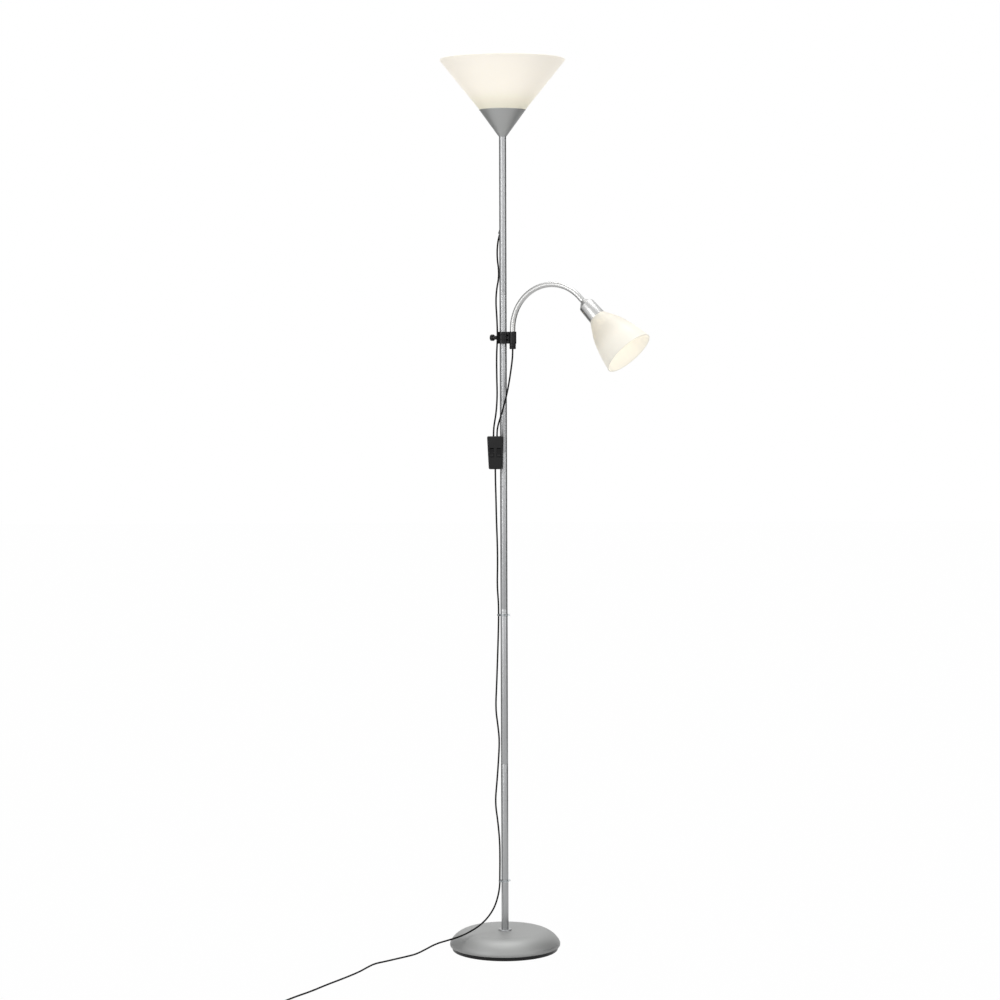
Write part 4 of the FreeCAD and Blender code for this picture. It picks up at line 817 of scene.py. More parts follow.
# ---------------------------------------------------------------------------
# Bulbs and lampholders
# ---------------------------------------------------------------------------
def bulb_outline(neck: float, glass: float, low: float, centre: float) -> Outline:
    """Returns a globe bulb's outline.

    Args:
        neck: its radius at its screw cap.
        glass: the globe's radius.
        low: the height of the cap's end.
        centre: the height of the globe's middle.

    Returns:
        Radius and height from the cap over the globe to the axis.
    """
    outline = [(0, low), (neck, low)]
    rise = centre - low
    steps = 16
    cone, flare = 0.35, 0.65
    for index in range(1, steps + 1):
        share = index / steps
        ease = share * share * (3 - 2 * share)
        outline.append((neck + (glass - neck) * (cone * share + flare * ease), low + rise * share))
    return outline + arc(0, centre, glass, 0, 90, 24)[1:]


def opal_globe(name: str, centre: Vector, far_mm: float) -> LitShade:
    """Returns the finish of a lit bulb's opal glass.

    Args:
        name: the finish's name.
        centre: the middle of the globe.
        far_mm: the distance from there to the neck.

    Returns:
        The finish.
    """
    return LitShade(name, "F2EFE8", "F4F1EA", roughness=0.25, grain_mm=6.0, gloss_spread=0.03,
                    glow_centre=tuple(centre), near_mm=5.0, far_mm=far_mm, near_glow="FFF3DC",
                    far_glow="FFE6C0", glow=0.8, passing=0.2)


def add_lamp(name: str, place: Vector, power: float, size: float, body: str) -> None:
    """Adds the light of a bulb, which moves with its body.

    Args:
        name: the light's name.
        place: the middle of the bulb.
        power: its power in watts.
        size: the radius that it shines from.
        body: the body that carries the bulb.
    """
    data = bpy.data.lights.new(name, "POINT")
    data.energy = power
    data.shadow_soft_size = size
    data.color = linear(LAMP_COLOUR)[:3]
    lamp = bpy.data.objects.new(name, data)
    bpy.context.scene.collection.objects.link(lamp)
    lamp.location = place
    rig.ride(lamp, body)


def thread(root: float, crest: float, low: float, pitch: float, rise: float, turns: int) -> Outline:
    """Returns the ridges of a moulded thread.

    Args:
        root, crest: its radii.
        low: where the first ridge starts.
        pitch: the distance between two ridges.
        rise: half the height of a ridge.
        turns: the number of ridges.

    Returns:
        Radius and height of the ridges, from the lowest up.
    """
    outline = []
    for turn in range(turns):
        foot = low + turn * pitch
        outline += [(root, foot), (crest, foot + rise), (root, foot + 2 * rise)]
    return outline


# ---------------------------------------------------------------------------
# Upper light
# ---------------------------------------------------------------------------
@dataclass
class UpperLight:
    """The cup, the cone shade and what stands inside it."""

    cup_top: float = 1.700
    cup_low: float = 1.6465
    cup_radius: float = 0.0467
    neck: float = 0.00775
    hole: float = 0.00505
    rim: float = 1.8
    rim_radius: float = 0.1254
    wall: float = 0.0031
    seat: float = 1.6865
    seat_radius: float = 0.0196
    holder: float = 0.0193
    glass: float = 0.030
    bulb_tip: float = 1.788
    glass_length: float = 0.08
    bulb_neck: float = 0.0134
    light_power: float = 0.1
    light_size: float = 0.026

    def cup(self) -> None:
        """Spins the sheet cup with its small flat at the pole and a rolled rim."""
        roll = 0.0008
        outline = [(self.hole, self.cup_low), (self.neck - 0.0004, self.cup_low)]
        outline += [(self.neck + 0.0002, self.cup_low + 0.0005)]
        outline += [(self.cup_radius - 0.0006, self.cup_top - 0.0009)]
        outline += arc(self.cup_radius - roll, self.cup_top - roll, roll, -10, 120, 8)
        outline += [(self.neck + 0.0006, self.cup_low + 0.0018), (self.hole, self.cup_low + 0.0018)]
        settle(spun("shade_cup_shell", outline, steps=128), "stand", "silver_paint", Finishes.CUP_PAINT,
               ["shade_cup"])

    def shade(self) -> None:
        """Spins the cone shade: seat, shoulder in the cup, the cone and its round rim."""
        lip = 0.0015
        lean = (self.rim_radius - self.cup_radius) / (self.rim - self.cup_top)
        outline = [(self.seat_radius, self.seat), (0.0325, self.seat), (0.0442, self.cup_top + 0.0003)]
        outline += [(self.cup_radius - 0.0004, self.cup_top + 0.0003)]
        outline += [(self.cup_radius + 0.0004, self.cup_top + 0.0013)]
        outline += arc(self.rim_radius - lip, self.rim - lip, lip, -38, 180, 12)
        outline += [(self.cup_radius + lean * 0.0022 - self.wall, self.cup_top + 0.0022)]
        outline += [(0.0412, self.cup_top - 0.0005), (0.0298, self.seat + 0.0024)]
        outline += [(self.seat_radius, self.seat + 0.0024)]
        # Painted light: the cone glows most round its middle and least down in the cup, measured from a point above
        # the rim, not from the bulb.
        opal = LitShade("opal_cone_shade", "E1DED7", "E6E3DC", roughness=0.42, grain_mm=6.0,
                        gloss_spread=0.04, glow_centre=(0.0, 0.0, self.rim + 0.05), near_mm=131.0,
                        far_mm=156.0, near_glow="EDEAE6", far_glow="BDBFB0", glow=0.56)
        settle(spun("cone_shade", outline, steps=192), "stand", "frosted_shade", opal, ["upper_shade"])

    def shade_ring(self) -> None:
        """Spins the ring that holds the shade: a wide flange with a collar above it."""
        low = self.seat + 0.0025
        inner = self.holder + 0.0001
        outline = [(inner, low), (self.holder + 0.0068, low), (self.holder + 0.007, low + 0.0003)]
        outline += [(self.holder + 0.007, low + 0.0021), (self.holder + 0.0064, low + 0.0026)]
        outline += [(self.holder + 0.0028, low + 0.0034), (self.holder + 0.0026, low + 0.0086)]
        outline += [(self.holder + 0.0022, low + 0.009), (inner, low + 0.009)]
        ring = spun("cone_shade_ring", outline, steps=96)
        settle(ring, "stand", "white_plastic", Finishes.WHITE_PBT, ["upper_shade_ring"])

    def lampholder(self) -> None:
        """Spins the large lampholder with its outer thread."""
        low = self.cup_low
        skirt = self.holder
        outline = [(self.hole, low + 0.0065), (0.009, low + 0.0065), (0.0095, low + 0.013)]
        outline += [(skirt - 0.0004, low + 0.0255), (skirt, low + 0.0262), (skirt, self.seat - 0.002)]
        outline += [(skirt + 0.0032, self.seat - 0.002), (skirt + 0.0032, self.seat - 0.0001)]
        outline += [(skirt - 0.0006, self.seat - 0.0001)]
        outline += thread(skirt - 0.0006, skirt, self.seat + 0.0014, pitch=0.0027, rise=0.0007, turns=7)
        outline += [(skirt - 0.0004, self.seat + 0.022), (skirt - 0.0016, self.seat + 0.022)]
        outline += [(skirt - 0.0016, low + 0.029), (self.hole, low + 0.029)]
        settle(spun("large_lampholder", outline), "stand", "white_plastic", Finishes.WHITE_PBT,
               ["top_lampholder"])

    def bulb(self) -> None:
        """Spins the globe bulb and puts a light inside it."""
        cap_top = self.bulb_tip - self.glass_length
        centre = self.bulb_tip - self.glass
        outline = bulb_outline(self.bulb_neck, self.glass, cap_top + 0.0001, centre)
        globe = opal_globe("opal_globe_glass", Vector((0, 0, centre)), 70.0)
        bulb = settle(spun("large_bulb", outline), "stand", "bulb_glass", globe, ["top_bulb_glass"])
        bulb.visible_shadow = False
        add_lamp("large_bulb_light", Vector((0, 0, centre)), self.light_power, self.light_size, "stand")

    def build(self) -> None:
        """Makes the whole upper light."""
        self.cup()
        self.shade()
        self.shade_ring()
        self.lampholder()
        self.bulb()
        dress_nodes(Finishes.BRASS, "top_socket_contacts")
        dress_nodes(Finishes.BULB_ALUMINIUM, "top_bulb_cap")


# ---------------------------------------------------------------------------
# Reading arm
# ---------------------------------------------------------------------------
@dataclass
class ReadingArm:
    """Where the reading arm stands, bends and points."""

    azimuth: float = -29.0
    reach: float = 0.0217
    bend: float = 0.0885
    bend_height: float = 1.262
    turn: float = 135.5
    tail: float = 0.010
    cells: int = 5
    side_cells: tuple[int, int] = (2, 4)
    out: Vector = field(init=False)
    foot: Vector = field(init=False)
    axis: Vector = field(init=False)
    centre: Vector = field(init=False)

    def __post_init__(self) -> None:
        """Works out the arm's directions from its azimuth."""
        self.out = compass(self.azimuth)
        self.foot = self.out * self.reach
        self.axis = UP.cross(self.out)
        self.centre = self.foot + self.out * self.bend + UP * self.bend_height

    def point(self, angle: float) -> Vector:
        """Returns the point of the neck's middle line at an angle of its bend."""
        turn = math.radians(angle)
        return self.centre + (UP * math.sin(turn) - self.out * math.cos(turn)) * self.bend

    def heading(self, angle: float) -> Vector:
        """Returns the neck's direction at an angle of its bend."""
        turn = math.radians(angle)
        return self.out * math.sin(turn) + UP * math.cos(turn)

    def joints(self) -> list[float]:
        """Returns the angles of the neck's joints, in order."""
        cell = self.turn / self.cells
        return sorted([cell * (i + 0.5) for i in range(self.cells)] + [cell * i for i in self.side_cells])

    def head_place(self) -> Matrix:
        """Returns the head's frame: Z along the way that it points."""
        way = self.heading(self.turn)
        start = self.point(self.turn) + way * self.tail
        turn = Matrix((self.axis.cross(way), self.axis, way)).transposed()
        return Matrix.Translation(start) @ turn.to_4x4()


@dataclass
class Clamp:
    """The clamp on the pole with its knob, its liner and the arm's ferrule."""

    arm: ReadingArm
    low: float = 1.233
    height: float = 0.024
    radius: float = 0.0126
    bore: float = 0.0088
    flange: float = 0.0104
    arm_ring: float = 0.0075
    neck: float = 0.0055
    boss: float = 0.004
    boss_reach: float = 0.0195
    knob_radius: float = 0.0065
    knob_start: float = 0.0218
    knob_length: float = 0.0065
    knob_grooves: int = 14
    ferrule_radius: float = 0.0065
    ferrule_low: float = 1.222
    web_start: float = 0.009
    web_end: float = 0.018
    web_half: float = 0.0045
    waists: tuple[float, float] = (0.0075, 0.0165)
    waist_half: float = 0.0016
    waist_depth: float = 0.0006
    screw_hole: float = 0.0026

    def body(self) -> None:
        """Welds the pole ring, arm ring, web and boss, cuts two waists and bores it all."""
        low = UP * self.low
        high = UP * (self.low + self.height)
        out = self.arm.out
        middle = UP * (self.low + self.height / 2)
        body = rod("clamp_housing", low, high, self.radius, 96)
        ring = rod("ring", self.arm.foot + low, self.arm.foot + high, self.arm_ring, 72)
        combined(body, ring, "UNION")
        web = brick("web", Vector((self.web_start, -self.web_half, self.low)),
                    Vector((self.web_end, self.web_half, self.low + self.height)))
        put(web, Matrix.Rotation(math.radians(self.arm.azimuth), 4, "Z"))
        combined(body, web, "UNION")
        combined(body, rod("boss", middle - out * 0.010, middle - out * self.boss_reach, self.boss), "UNION")
        inner = self.radius - self.waist_depth
        outer = self.radius + 0.002
        for level in self.waists:
            under = self.low + level - self.waist_half
            over = self.low + level + self.waist_half
            waist = spun("waist", [(inner, under), (outer, under), (outer, over), (inner, over)], 96)
            combined(body, waist, "DIFFERENCE")
        spare = UP * 0.003
        combined(body, rod("bore", low - spare, high + spare, self.bore + 0.00005, 96), "DIFFERENCE")
        for end, way in ((low, -1), (high, 1)):
            recess = rod("recess", end - UP * way * 0.0014, end + UP * way * 0.002, self.flange + 0.0002, 96)
            combined(body, recess, "DIFFERENCE")
        foot = self.arm.foot
        combined(body, rod("arm_bore", foot + low - spare, foot + high + spare, self.neck + 0.0001, 72),
                 "DIFFERENCE")
        screw = rod("screw_hole", middle - out * 0.008, middle - out * 0.022, self.screw_hole)
        combined(body, screw, "DIFFERENCE")
        moulded(body, 0.0003, 5)
        settle(body, "clamp", "black_plastic", Finishes.BLACK_ABS, ["clamp_body"])

    def knob(self) -> None:
        """Spins the knob with a dished face and cuts its grip grooves."""
        radius = self.knob_radius
        length = self.knob_length
        bore, deep = 0.0026, 0.0048
        outline = [(0, deep), (bore, deep), (bore, 0), (radius - 0.0008, 0)]
        outline += arc(radius - 0.0006, 0.0006, 0.0006, -90, 0, 5)
        outline += arc(radius - 0.0016, length - 0.0016, 0.0016, 0, 90, 8)
        outline += [(radius - 0.0026, length - 0.0004), (0, length - 0.0007)]
        knob = spun("clamp_grip_knob", outline, steps=112)
        groove_out, groove_radius = 0.00035, 0.0008
        for index in range(self.knob_grooves):
            spot = compass(360 * index / self.knob_grooves) * (radius + groove_out)
            groove = rod("groove", spot - UP * 0.001, spot + UP * (length + 0.001), groove_radius, 20)
            combined(knob, groove, "DIFFERENCE")
        middle = UP * (self.low + self.height / 2) - self.arm.out * self.knob_start
        put(knob, upright(-self.arm.out, middle))
        settle(tidy(knob, 28.0), "clamp_knob", "black_plastic", Finishes.BLACK_ABS, ["clamp_knob"])

    def ferrule(self) -> None:
        """Spins the ferrule that closes the arm's foot under the clamp."""
        radius = self.ferrule_radius
        tall = self.low - self.ferrule_low
        hole, soft, seat = 0.0018, 0.0016, 0.005
        inner = self.neck + 0.0001
        outline = [(hole, 0), (radius - soft, 0)] + arc(radius - soft, soft, soft, -90, 0, 8)
        outline += [(radius, 0.0046), (radius - 0.0004, 0.005), (radius - 0.0004, 0.0056), (radius, 0.006)]
        outline += [(radius, tall), (inner, tall), (inner, seat), (hole, seat)]
        ferrule = put(spun("arm_foot_ferrule", outline, steps=72),
                      Matrix.Translation(self.arm.foot + UP * self.ferrule_low))
        settle(ferrule, "clamp", "black_plastic", Finishes.BLACK_ABS, ["arm_ferrule"])

    def build(self) -> None:
        """Makes the clamp."""
        self.body()
        self.knob()
        self.ferrule()
        dress_nodes(Finishes.BLACK_ABS, "clamp_liner")
        dress_nodes(Finishes.ZINC_STEEL, "clamp_screw")
        dress_nodes(Finishes.BRASS, "clamp_insert")


@dataclass
class Neck:
    """The neck's smooth sleeve, in lengths that each bend round one joint."""

    arm: ReadingArm
    radius: float = 0.0055
    bore: float = 0.0046
    low: float = 1.2272
    sides: int = 40
    still: float = 4.0
    fineness: float = 1.8

    def ring(self, name: str, place: Vector, heading: Vector) -> bpy.types.Object:
        """Starts a length of the sleeve as a ring of edges across the neck."""
        deselect()
        bpy.ops.mesh.primitive_circle_add(vertices=self.sides, radius=self.radius)
        piece = bpy.context.object
        piece.name = name
        return put(piece, upright(heading, place))

    def length(self, name: str, first: float, last: float, low: float = 0.0,
               high: float = 0.0) -> bpy.types.Object:
        """Makes one length of the sleeve.

        Args:
            name: the piece's name.
            first, last: its angles along the bend.
            low, high: straight lengths before and after the bend.

        Returns:
            The piece: a tube wall whose ends meet its neighbours.
        """
        arm = self.arm
        start = arm.point(first) - arm.heading(first) * low
        piece = self.ring(name, start, arm.heading(first))
        bpy.ops.object.mode_set(mode="EDIT")
        bpy.ops.mesh.select_all(action="SELECT")
        if low:
            bpy.ops.mesh.extrude_region_move(TRANSFORM_OT_translate={"value": arm.heading(first) * low})
        steps = max(3, round((last - first) / self.fineness))
        if last > first:
            bpy.ops.mesh.spin(steps=steps, angle=math.radians(first - last), center=arm.centre,
                              axis=arm.axis)
        if high:
            bpy.ops.mesh.extrude_region_move(TRANSFORM_OT_translate={"value": arm.heading(last) * high})
        bpy.ops.object.mode_set(mode="OBJECT")
        tidy(piece)
        modified(piece, "SOLIDIFY", thickness=self.radius - self.bore, offset=-1.0)
        return tidy(piece)

    def build(self) -> None:
        """Makes all lengths of the sleeve and bends each between its two bodies."""
        joints = self.arm.joints()
        bodies = ["clamp"] + ["neck_%d" % i for i in range(1, len(joints))] + ["reading_head"]
        marks = [self.still] + [(a + b) / 2 for a, b in zip(joints, joints[1:])]
        marks.append(self.arm.turn - self.still)
        stem = self.length("neck_sleeve_foot", 0, marks[0], low=self.arm.bend_height - self.low)
        settle(stem, "clamp", "neck_sleeve", Finishes.NECK_NICKEL, ["neck_foot", "neck_lead"])
        for index, (first, last) in enumerate(zip(marks, marks[1:]), start=1):
            piece = self.length("neck_sleeve_%d" % index, first, last)
            below, above = bodies[index - 1], bodies[index]
            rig.blend(piece, below, above, self.arm.point(first), self.arm.point(last))
            nodes = ["neck_link_%d" % index] if index < len(joints) else ["neck_end"]
            settle(piece, above, "neck_sleeve", Finishes.NECK_NICKEL, nodes)
        end = self.length("neck_sleeve_end", marks[-1], self.arm.turn, high=self.arm.tail + 0.0006)
        settle(end, "reading_head", "neck_sleeve", Finishes.NECK_NICKEL)


@dataclass
class ReadingHead:
    """The reading light's cap, bell shade, lampholder and bulb, in the head's frame."""

    arm: ReadingArm
    cap: float = 0.0455
    cone: float = 0.011
    waist: float = 0.0164
    mouth: float = 0.0177
    bell: float = 0.099
    bell_radius: float = 0.0525
    wall: float = 0.002
    neck: float = 0.0055
    glass: float = 0.0225
    bulb_centre: float = 0.082
    bulb_low: float = 0.0511
    bulb_neck: float = 0.0072
    light_power: float = 0.07
    light_size: float = 0.019
    hole: float = 0.0043
    seat_radius: float = 0.0137

    def placed(self, name: str, outline: Outline, steps: int, slot: str,
               finish: Finishes | Finish, node: str) -> bpy.types.Object:
        """Spins a piece of the head and puts it in the head's frame."""
        piece = put(spun(name, outline, steps), self.arm.head_place())
        return settle(piece, "reading_head", slot, finish, [node])

    def bell_curve(self, inset: float) -> Outline:
        """Returns the bell's side from the cap to the mouth, drawn in by an inset."""
        shares = [(0.0, 0.337), (0.285, 0.638), (0.39, 0.716), (0.49, 0.78), (0.62, 0.852),
                  (0.75, 0.911), (0.88, 0.961), (1.0, 1.0)]
        outline = []
        steps = 48
        for index in range(steps + 1):
            share = index / steps
            for (low, first), (high, last) in zip(shares, shares[1:]):
                if low <= share <= high:
                    radius = first + (last - first) * (share - low) / (high - low)
                    outline.append((self.bell_radius * radius - inset, self.cap + self.bell * share))
                    break
        return outline

    def shade(self) -> None:
        """Spins the bell shade with its neck in the cap and a rounded mouth."""
        outer = self.bell_curve(0)[1:-1]
        inner = self.bell_curve(self.wall)[2:-1]
        neck = self.mouth - 0.0015
        end = self.cap + self.bell
        lip = self.wall / 2
        outline = [(self.seat_radius, self.cap - 0.002), (neck, self.cap - 0.002), (neck, self.cap + 0.0002)]
        outline += [(self.mouth + 0.0001, self.cap + 0.0002)] + outer
        outline += arc(self.bell_radius - lip, end - lip, lip, 0, 180, 8)
        outline += inner[::-1] + [(self.seat_radius, self.cap + 0.0004)]
        bulb = self.arm.head_place() @ Vector((0, 0, self.bulb_centre))
        # Painted light: the bell's glow is dimmer near the bulb and brighter towards the mouth, so that with the
        # bulb's light through the wall it looks evenly lit.
        opal = LitShade("opal_bell_shade", "D3D1CB", "D8D6D1", roughness=0.42, grain_mm=6.0,
                        gloss_spread=0.04, glow_centre=tuple(bulb), near_mm=28.0, far_mm=60.0,
                        near_glow="B6B2A7", far_glow="F0EDE4", glow=0.62)
        self.placed("bell_shade", outline, 160, "frosted_shade", opal, "reading_shade")

    def cap_shell(self) -> None:
        """Spins the metal cap: a small flat, the cone, and the slightly wider sleeve."""
        wall = 0.001
        soft = 0.0012
        outline = [(self.hole, 0), (self.neck, 0), (self.neck + 0.0005, 0.0003)]
        outline += [(self.waist - soft, self.cone - soft * 0.9), (self.waist - 0.0003, self.cone - 0.0001)]
        outline += [(self.waist, self.cone + 0.0008), (self.mouth, self.cap - 0.0002)]
        outline += [(self.mouth - 0.0002, self.cap), (self.mouth - wall, self.cap)]
        outline += [(self.waist - wall, self.cone + 0.0008), (self.neck, 0.0016), (self.hole, 0.0016)]
        self.placed("reading_cap_shell", outline, 112, "silver_paint", Finishes.NECK_NICKEL, "reading_cap")

    def lampholder(self) -> None:
        """Spins the small lampholder, its thread, and the ring on it."""
        low = self.cap
        root, crest = 0.0129, 0.0134
        outline = [(self.hole, 0.0084), (0.0065, 0.0084), (0.0075, 0.013), (0.0126, 0.017)]
        outline += [(0.0126, low - 0.0042), (0.0156, low - 0.0042), (0.0156, low - 0.0023)]
        outline += [(root, low - 0.0023)]
        outline += thread(root, crest, low - 0.001, pitch=0.0022, rise=0.0006, turns=4)
        outline += [(0.0132, low + 0.008), (0.012, low + 0.008), (0.0114, 0.019), (self.hole, 0.019)]
        self.placed("small_lampholder", outline, 80, "white_plastic", Finishes.WHITE_PBT,
                    "reading_lampholder")
        ring = [(0.0135, low + 0.0005), (0.0158, low + 0.0009), (0.016, low + 0.0012)]
        ring += [(0.016, low + 0.0024), (0.0148, low + 0.0034), (0.0148, low + 0.0072)]
        ring += [(0.0144, low + 0.0076), (0.0135, low + 0.0076)]
        self.placed("bell_shade_ring", ring, 80, "white_plastic", Finishes.WHITE_PBT, "reading_shade_ring")

    def bulb(self) -> None:
        """Spins the small globe bulb and puts a light inside it."""
        centre = self.arm.head_place() @ Vector((0, 0, self.bulb_centre))
        outline = bulb_outline(self.bulb_neck, self.glass, self.bulb_low, self.bulb_centre)
        globe = opal_globe("opal_small_globe", centre, 60.0)
        bulb = self.placed("small_bulb", outline, 80, "bulb_glass", globe, "reading_bulb_glass")
        bulb.visible_shadow = False
        add_lamp("small_bulb_light", centre, self.light_power, self.light_size, "reading_head")

    def build(self) -> None:
        """Makes the whole head."""
        self.cap_shell()
        self.shade()
        self.lampholder()
        self.bulb()
        dress_nodes(Finishes.ZINC_STEEL, "head_nut")
        dress_nodes(Finishes.BRASS, "reading_socket_contacts")
        dress_nodes(Finishes.BULB_ALUMINIUM, "reading_bulb_cap")


# ---------------------------------------------------------------------------
# Inline switch
# ---------------------------------------------------------------------------
@dataclass
class Switch:
    """The inline switch: two shells, two rockers and the screws at its back."""

    x: float = -0.0167
    y: float = -0.0185
    top: float = 1.0475
    length: float = 0.066
    upper_width: float = 0.033
    lower_width: float = 0.0264
    depth: float = 0.020
    back_depth: float = 0.008
    rocker_height: float = 1.015
    rocker_spacing: float = 0.014
    rocker_width: float = 0.008
    rocker_reach: float = 0.0089
    rocker_tilt: float = 8.0
    rocker_sink: float = 0.0046
    rocker_end: tuple[float, ...] = (83.5, 74.8, 66.1, 57.4)
    rocker_face: tuple[float, float, float] = (0.5388, 0.8425, 0.43)
    rocker_sag: float = 0.0004
    corner: float = 0.003
    front_edge: float = 0.0024
    back_edge: float = 0.0016
    seam_edge: float = 0.0003
    window_frame: tuple[float, float] = (0.0011, 0.0006)
    window_hole: tuple[float, float] = (0.0002, 0.0085)
    window_corner: float = 0.0008
    screws: tuple[tuple[float, float], ...] = ((-0.010, 1.039), (0.009, 0.990))
    screw_seat: float = 0.0021

    @property
    def bottom(self) -> float:
        """The height of the switch's lower end."""
        return self.top - self.length

    @property
    def front(self) -> float:
        """The Y of the switch's face."""
        return self.y - self.depth / 2

    @property
    def parting(self) -> float:
        """The Y where the two shells meet."""
        return self.y + self.depth / 2 - self.back_depth

    def blank(self, name: str, near: float, far: float, soft: float, face: int) -> bpy.types.Object:
        """Makes a tapered block, rounds its corners and then its face.

        Args:
            name: the piece's name.
            near, far: the Y of its front and back.
            soft: the rounding of its face.
            face: -1 if the face is at the front, 1 at the back.

        Returns:
            The block.
        """
        half = self.upper_width / 2
        piece = brick(name, Vector((self.x - half, near, self.bottom)),
                      Vector((self.x + half, far, self.top)))
        shape_faces(piece, lambda f: f.normal.z < -0.9)
        taper = self.lower_width / self.upper_width
        bpy.ops.transform.resize(value=(taper, 1, 1), center_override=(self.x, 0, self.bottom))
        bpy.ops.object.mode_set(mode="OBJECT")
        shape_edges(piece, lambda a, b: abs(a.x - b.x) < MM and abs(a.z - b.z) < MM)
        bpy.ops.mesh.bevel(offset=self.corner, segments=8, affect="EDGES")
        bpy.ops.object.mode_set(mode="OBJECT")
        rim = near if face < 0 else far
        shape_edges(piece, lambda a, b: abs(a.y - rim) < NEAR and abs(b.y - rim) < NEAR)
        bpy.ops.mesh.bevel(offset=soft, segments=7, affect="EDGES")
        bpy.ops.object.mode_set(mode="OBJECT")
        seam = far if face < 0 else near
        shape_edges(piece, lambda a, b: abs(a.y - seam) < NEAR and abs(b.y - seam) < NEAR)
        bpy.ops.mesh.bevel(offset=self.seam_edge, segments=2, affect="EDGES")
        bpy.ops.object.mode_set(mode="OBJECT")
        return tidy(piece)

    def window(self, side: int, grow: float, deep: float) -> bpy.types.Object:
        """Makes the block that cuts a rocker's window."""
        middle = self.x + side * self.rocker_spacing / 2
        half = self.rocker_width / 2 + grow
        reach = self.rocker_reach + grow
        low = Vector((middle - half, self.front - 0.002, self.rocker_height - reach))
        high = Vector((middle + half, self.front + deep, self.rocker_height + reach))
        block = brick("window", low, high)
        shape_edges(block, lambda a, b: abs(a.x - b.x) < NEAR and abs(a.z - b.z) < NEAR)
        bpy.ops.mesh.bevel(offset=self.window_corner, segments=4, affect="EDGES")
        bpy.ops.object.mode_set(mode="OBJECT")
        return block

    def shells(self) -> None:
        """Makes the two shells, with the rockers' windows in the front one."""
        front = self.blank("switch_front_shell", self.front, self.parting, self.front_edge, -1)
        for side in (-1, 1):
            for grow, deep in (self.window_frame, self.window_hole):
                combined(front, self.window(side, grow, deep), "DIFFERENCE")
        settle(front, "stand", "black_plastic", Finishes.BLACK_ABS, ["switch_front"])
        back = self.blank("switch_back_shell", self.parting, self.y + self.depth / 2, self.back_edge, 1)
        for across, height in self.screws:
            spot = Vector((self.x + across, self.y + self.depth / 2 - 0.0022, height))
            seat = rod("screw_seat", spot, spot + Vector((0, 0.004, 0)), self.screw_seat, 32)
            combined(back, seat, "DIFFERENCE")
        settle(back, "stand", "black_plastic", Finishes.BLACK_ABS, ["switch_back"])

    def rocker(self, label: str, side: int) -> None:
        """Makes one rocker: two shallow paddles that meet in a hollow at its middle.

        Args:
            label: the rocker's body and solid.
            side: -1 on the left, 1 on the right.
        """
        reach = self.rocker_reach
        outline = []
        for angle in self.rocker_end:
            turn = math.radians(angle)
            outline.append((-reach * math.cos(turn), reach * math.sin(turn)))
        crest, crest_height, hollow = self.rocker_face
        for share in (0.25, 0.5, 0.75):
            x = -reach * (crest + (hollow - crest) * share) + self.rocker_sag
            outline.append((x, reach * crest_height * (1 - share)))
        outline.append((-reach * hollow, 0))
        outline += [(x, -z) for x, z in outline[-2::-1]]
        outline += [(0.0025, -0.003), (0.0025, 0.003)]
        middle = self.x + side * self.rocker_spacing / 2
        turn = Matrix.Rotation(math.radians(self.rocker_tilt), 4, "X")
        spot = Vector((middle, self.front + self.rocker_sink, self.rocker_height))
        flat = Matrix(((0, 0, 1, -self.rocker_width / 2), (1, 0, 0, 0), (0, 1, 0, 0), (0, 0, 0, 1)))
        piece = slab(label + "_key", outline, self.rocker_width, Matrix.Translation(spot) @ turn @ flat)
        bevelled(piece, 0.0005, 3, 40)
        settle(piece, label, "black_plastic", Finishes.BLACK_ABS, [label])

    def build(self) -> None:
        """Makes the switch."""
        self.shells()
        self.rocker("rocker_upper_light", -1)
        self.rocker("rocker_reading_light", 1)
        dress_nodes(Finishes.BRASS, "switch_contacts")
        dress_nodes(Finishes.ZINC_STEEL, "switch_hardware")


# ---------------------------------------------------------------------------
# Cords, clips and plug
# ---------------------------------------------------------------------------
# Routes of the free cords in millimetres, point by point.
UPPER_ROUTE = [
    (-11.4, 7.4, 1426.0),
    (-11.6, 4.6, 1404.0),
    (-8.6, 5.6, 1382.0),
    (-8.7, 5.4, 1363.0),
    (-13.0, 2.4, 1342.0),
    (-14.6, -3.5, 1316.0),
    (-12.6, -8.8, 1286.0),
    (-11.6, -10.4, 1258.0),
    (-11.8, -10.8, 1238.0),
    (-13.4, -11.0, 1212.0),
    (-13.3, -12.0, 1170.0),
    (-12.2, -13.2, 1128.0),
    (-14.6, -15.8, 1094.0),
    (-19.4, -18.0, 1067.0),
]
ARM_ROUTE = [
    (17.6, -11.2, 1196.0),
    (13.0, -13.2, 1164.0),
    (7.4, -15.2, 1133.0),
    (-3.2, -17.0, 1094.0),
    (-12.0, -18.1, 1067.0),
]
MAINS_ROUTE = [
    (-15.6, -16.2, 925.0),
    (-14.8, -12.2, 878.0),
    (-13.2, -7.6, 832.0),
    (-12.7, -4.0, 790.0),
    (-13.8, -2.4, 745.0),
    (-11.3, -0.4, 711.0),
    (-11.1, 0.0, 694.0),
    (-11.1, 0.0, 676.0),
    (-12.0, -0.9, 640.0),
    (-13.6, -2.4, 595.0),
    (-15.4, -3.6, 545.0),
    (-17.8, -4.6, 495.0),
    (-13.4, -3.8, 461.0),
    (-10.1, -2.6, 430.0),
    (-12.2, -3.2, 389.0),
    (-15.4, -5.0, 346.0),
    (-19.4, -6.0, 303.0),
    (-14.0, -5.2, 264.0),
    (-10.2, -4.6, 222.0),
    (-10.0, -4.2, 180.0),
]
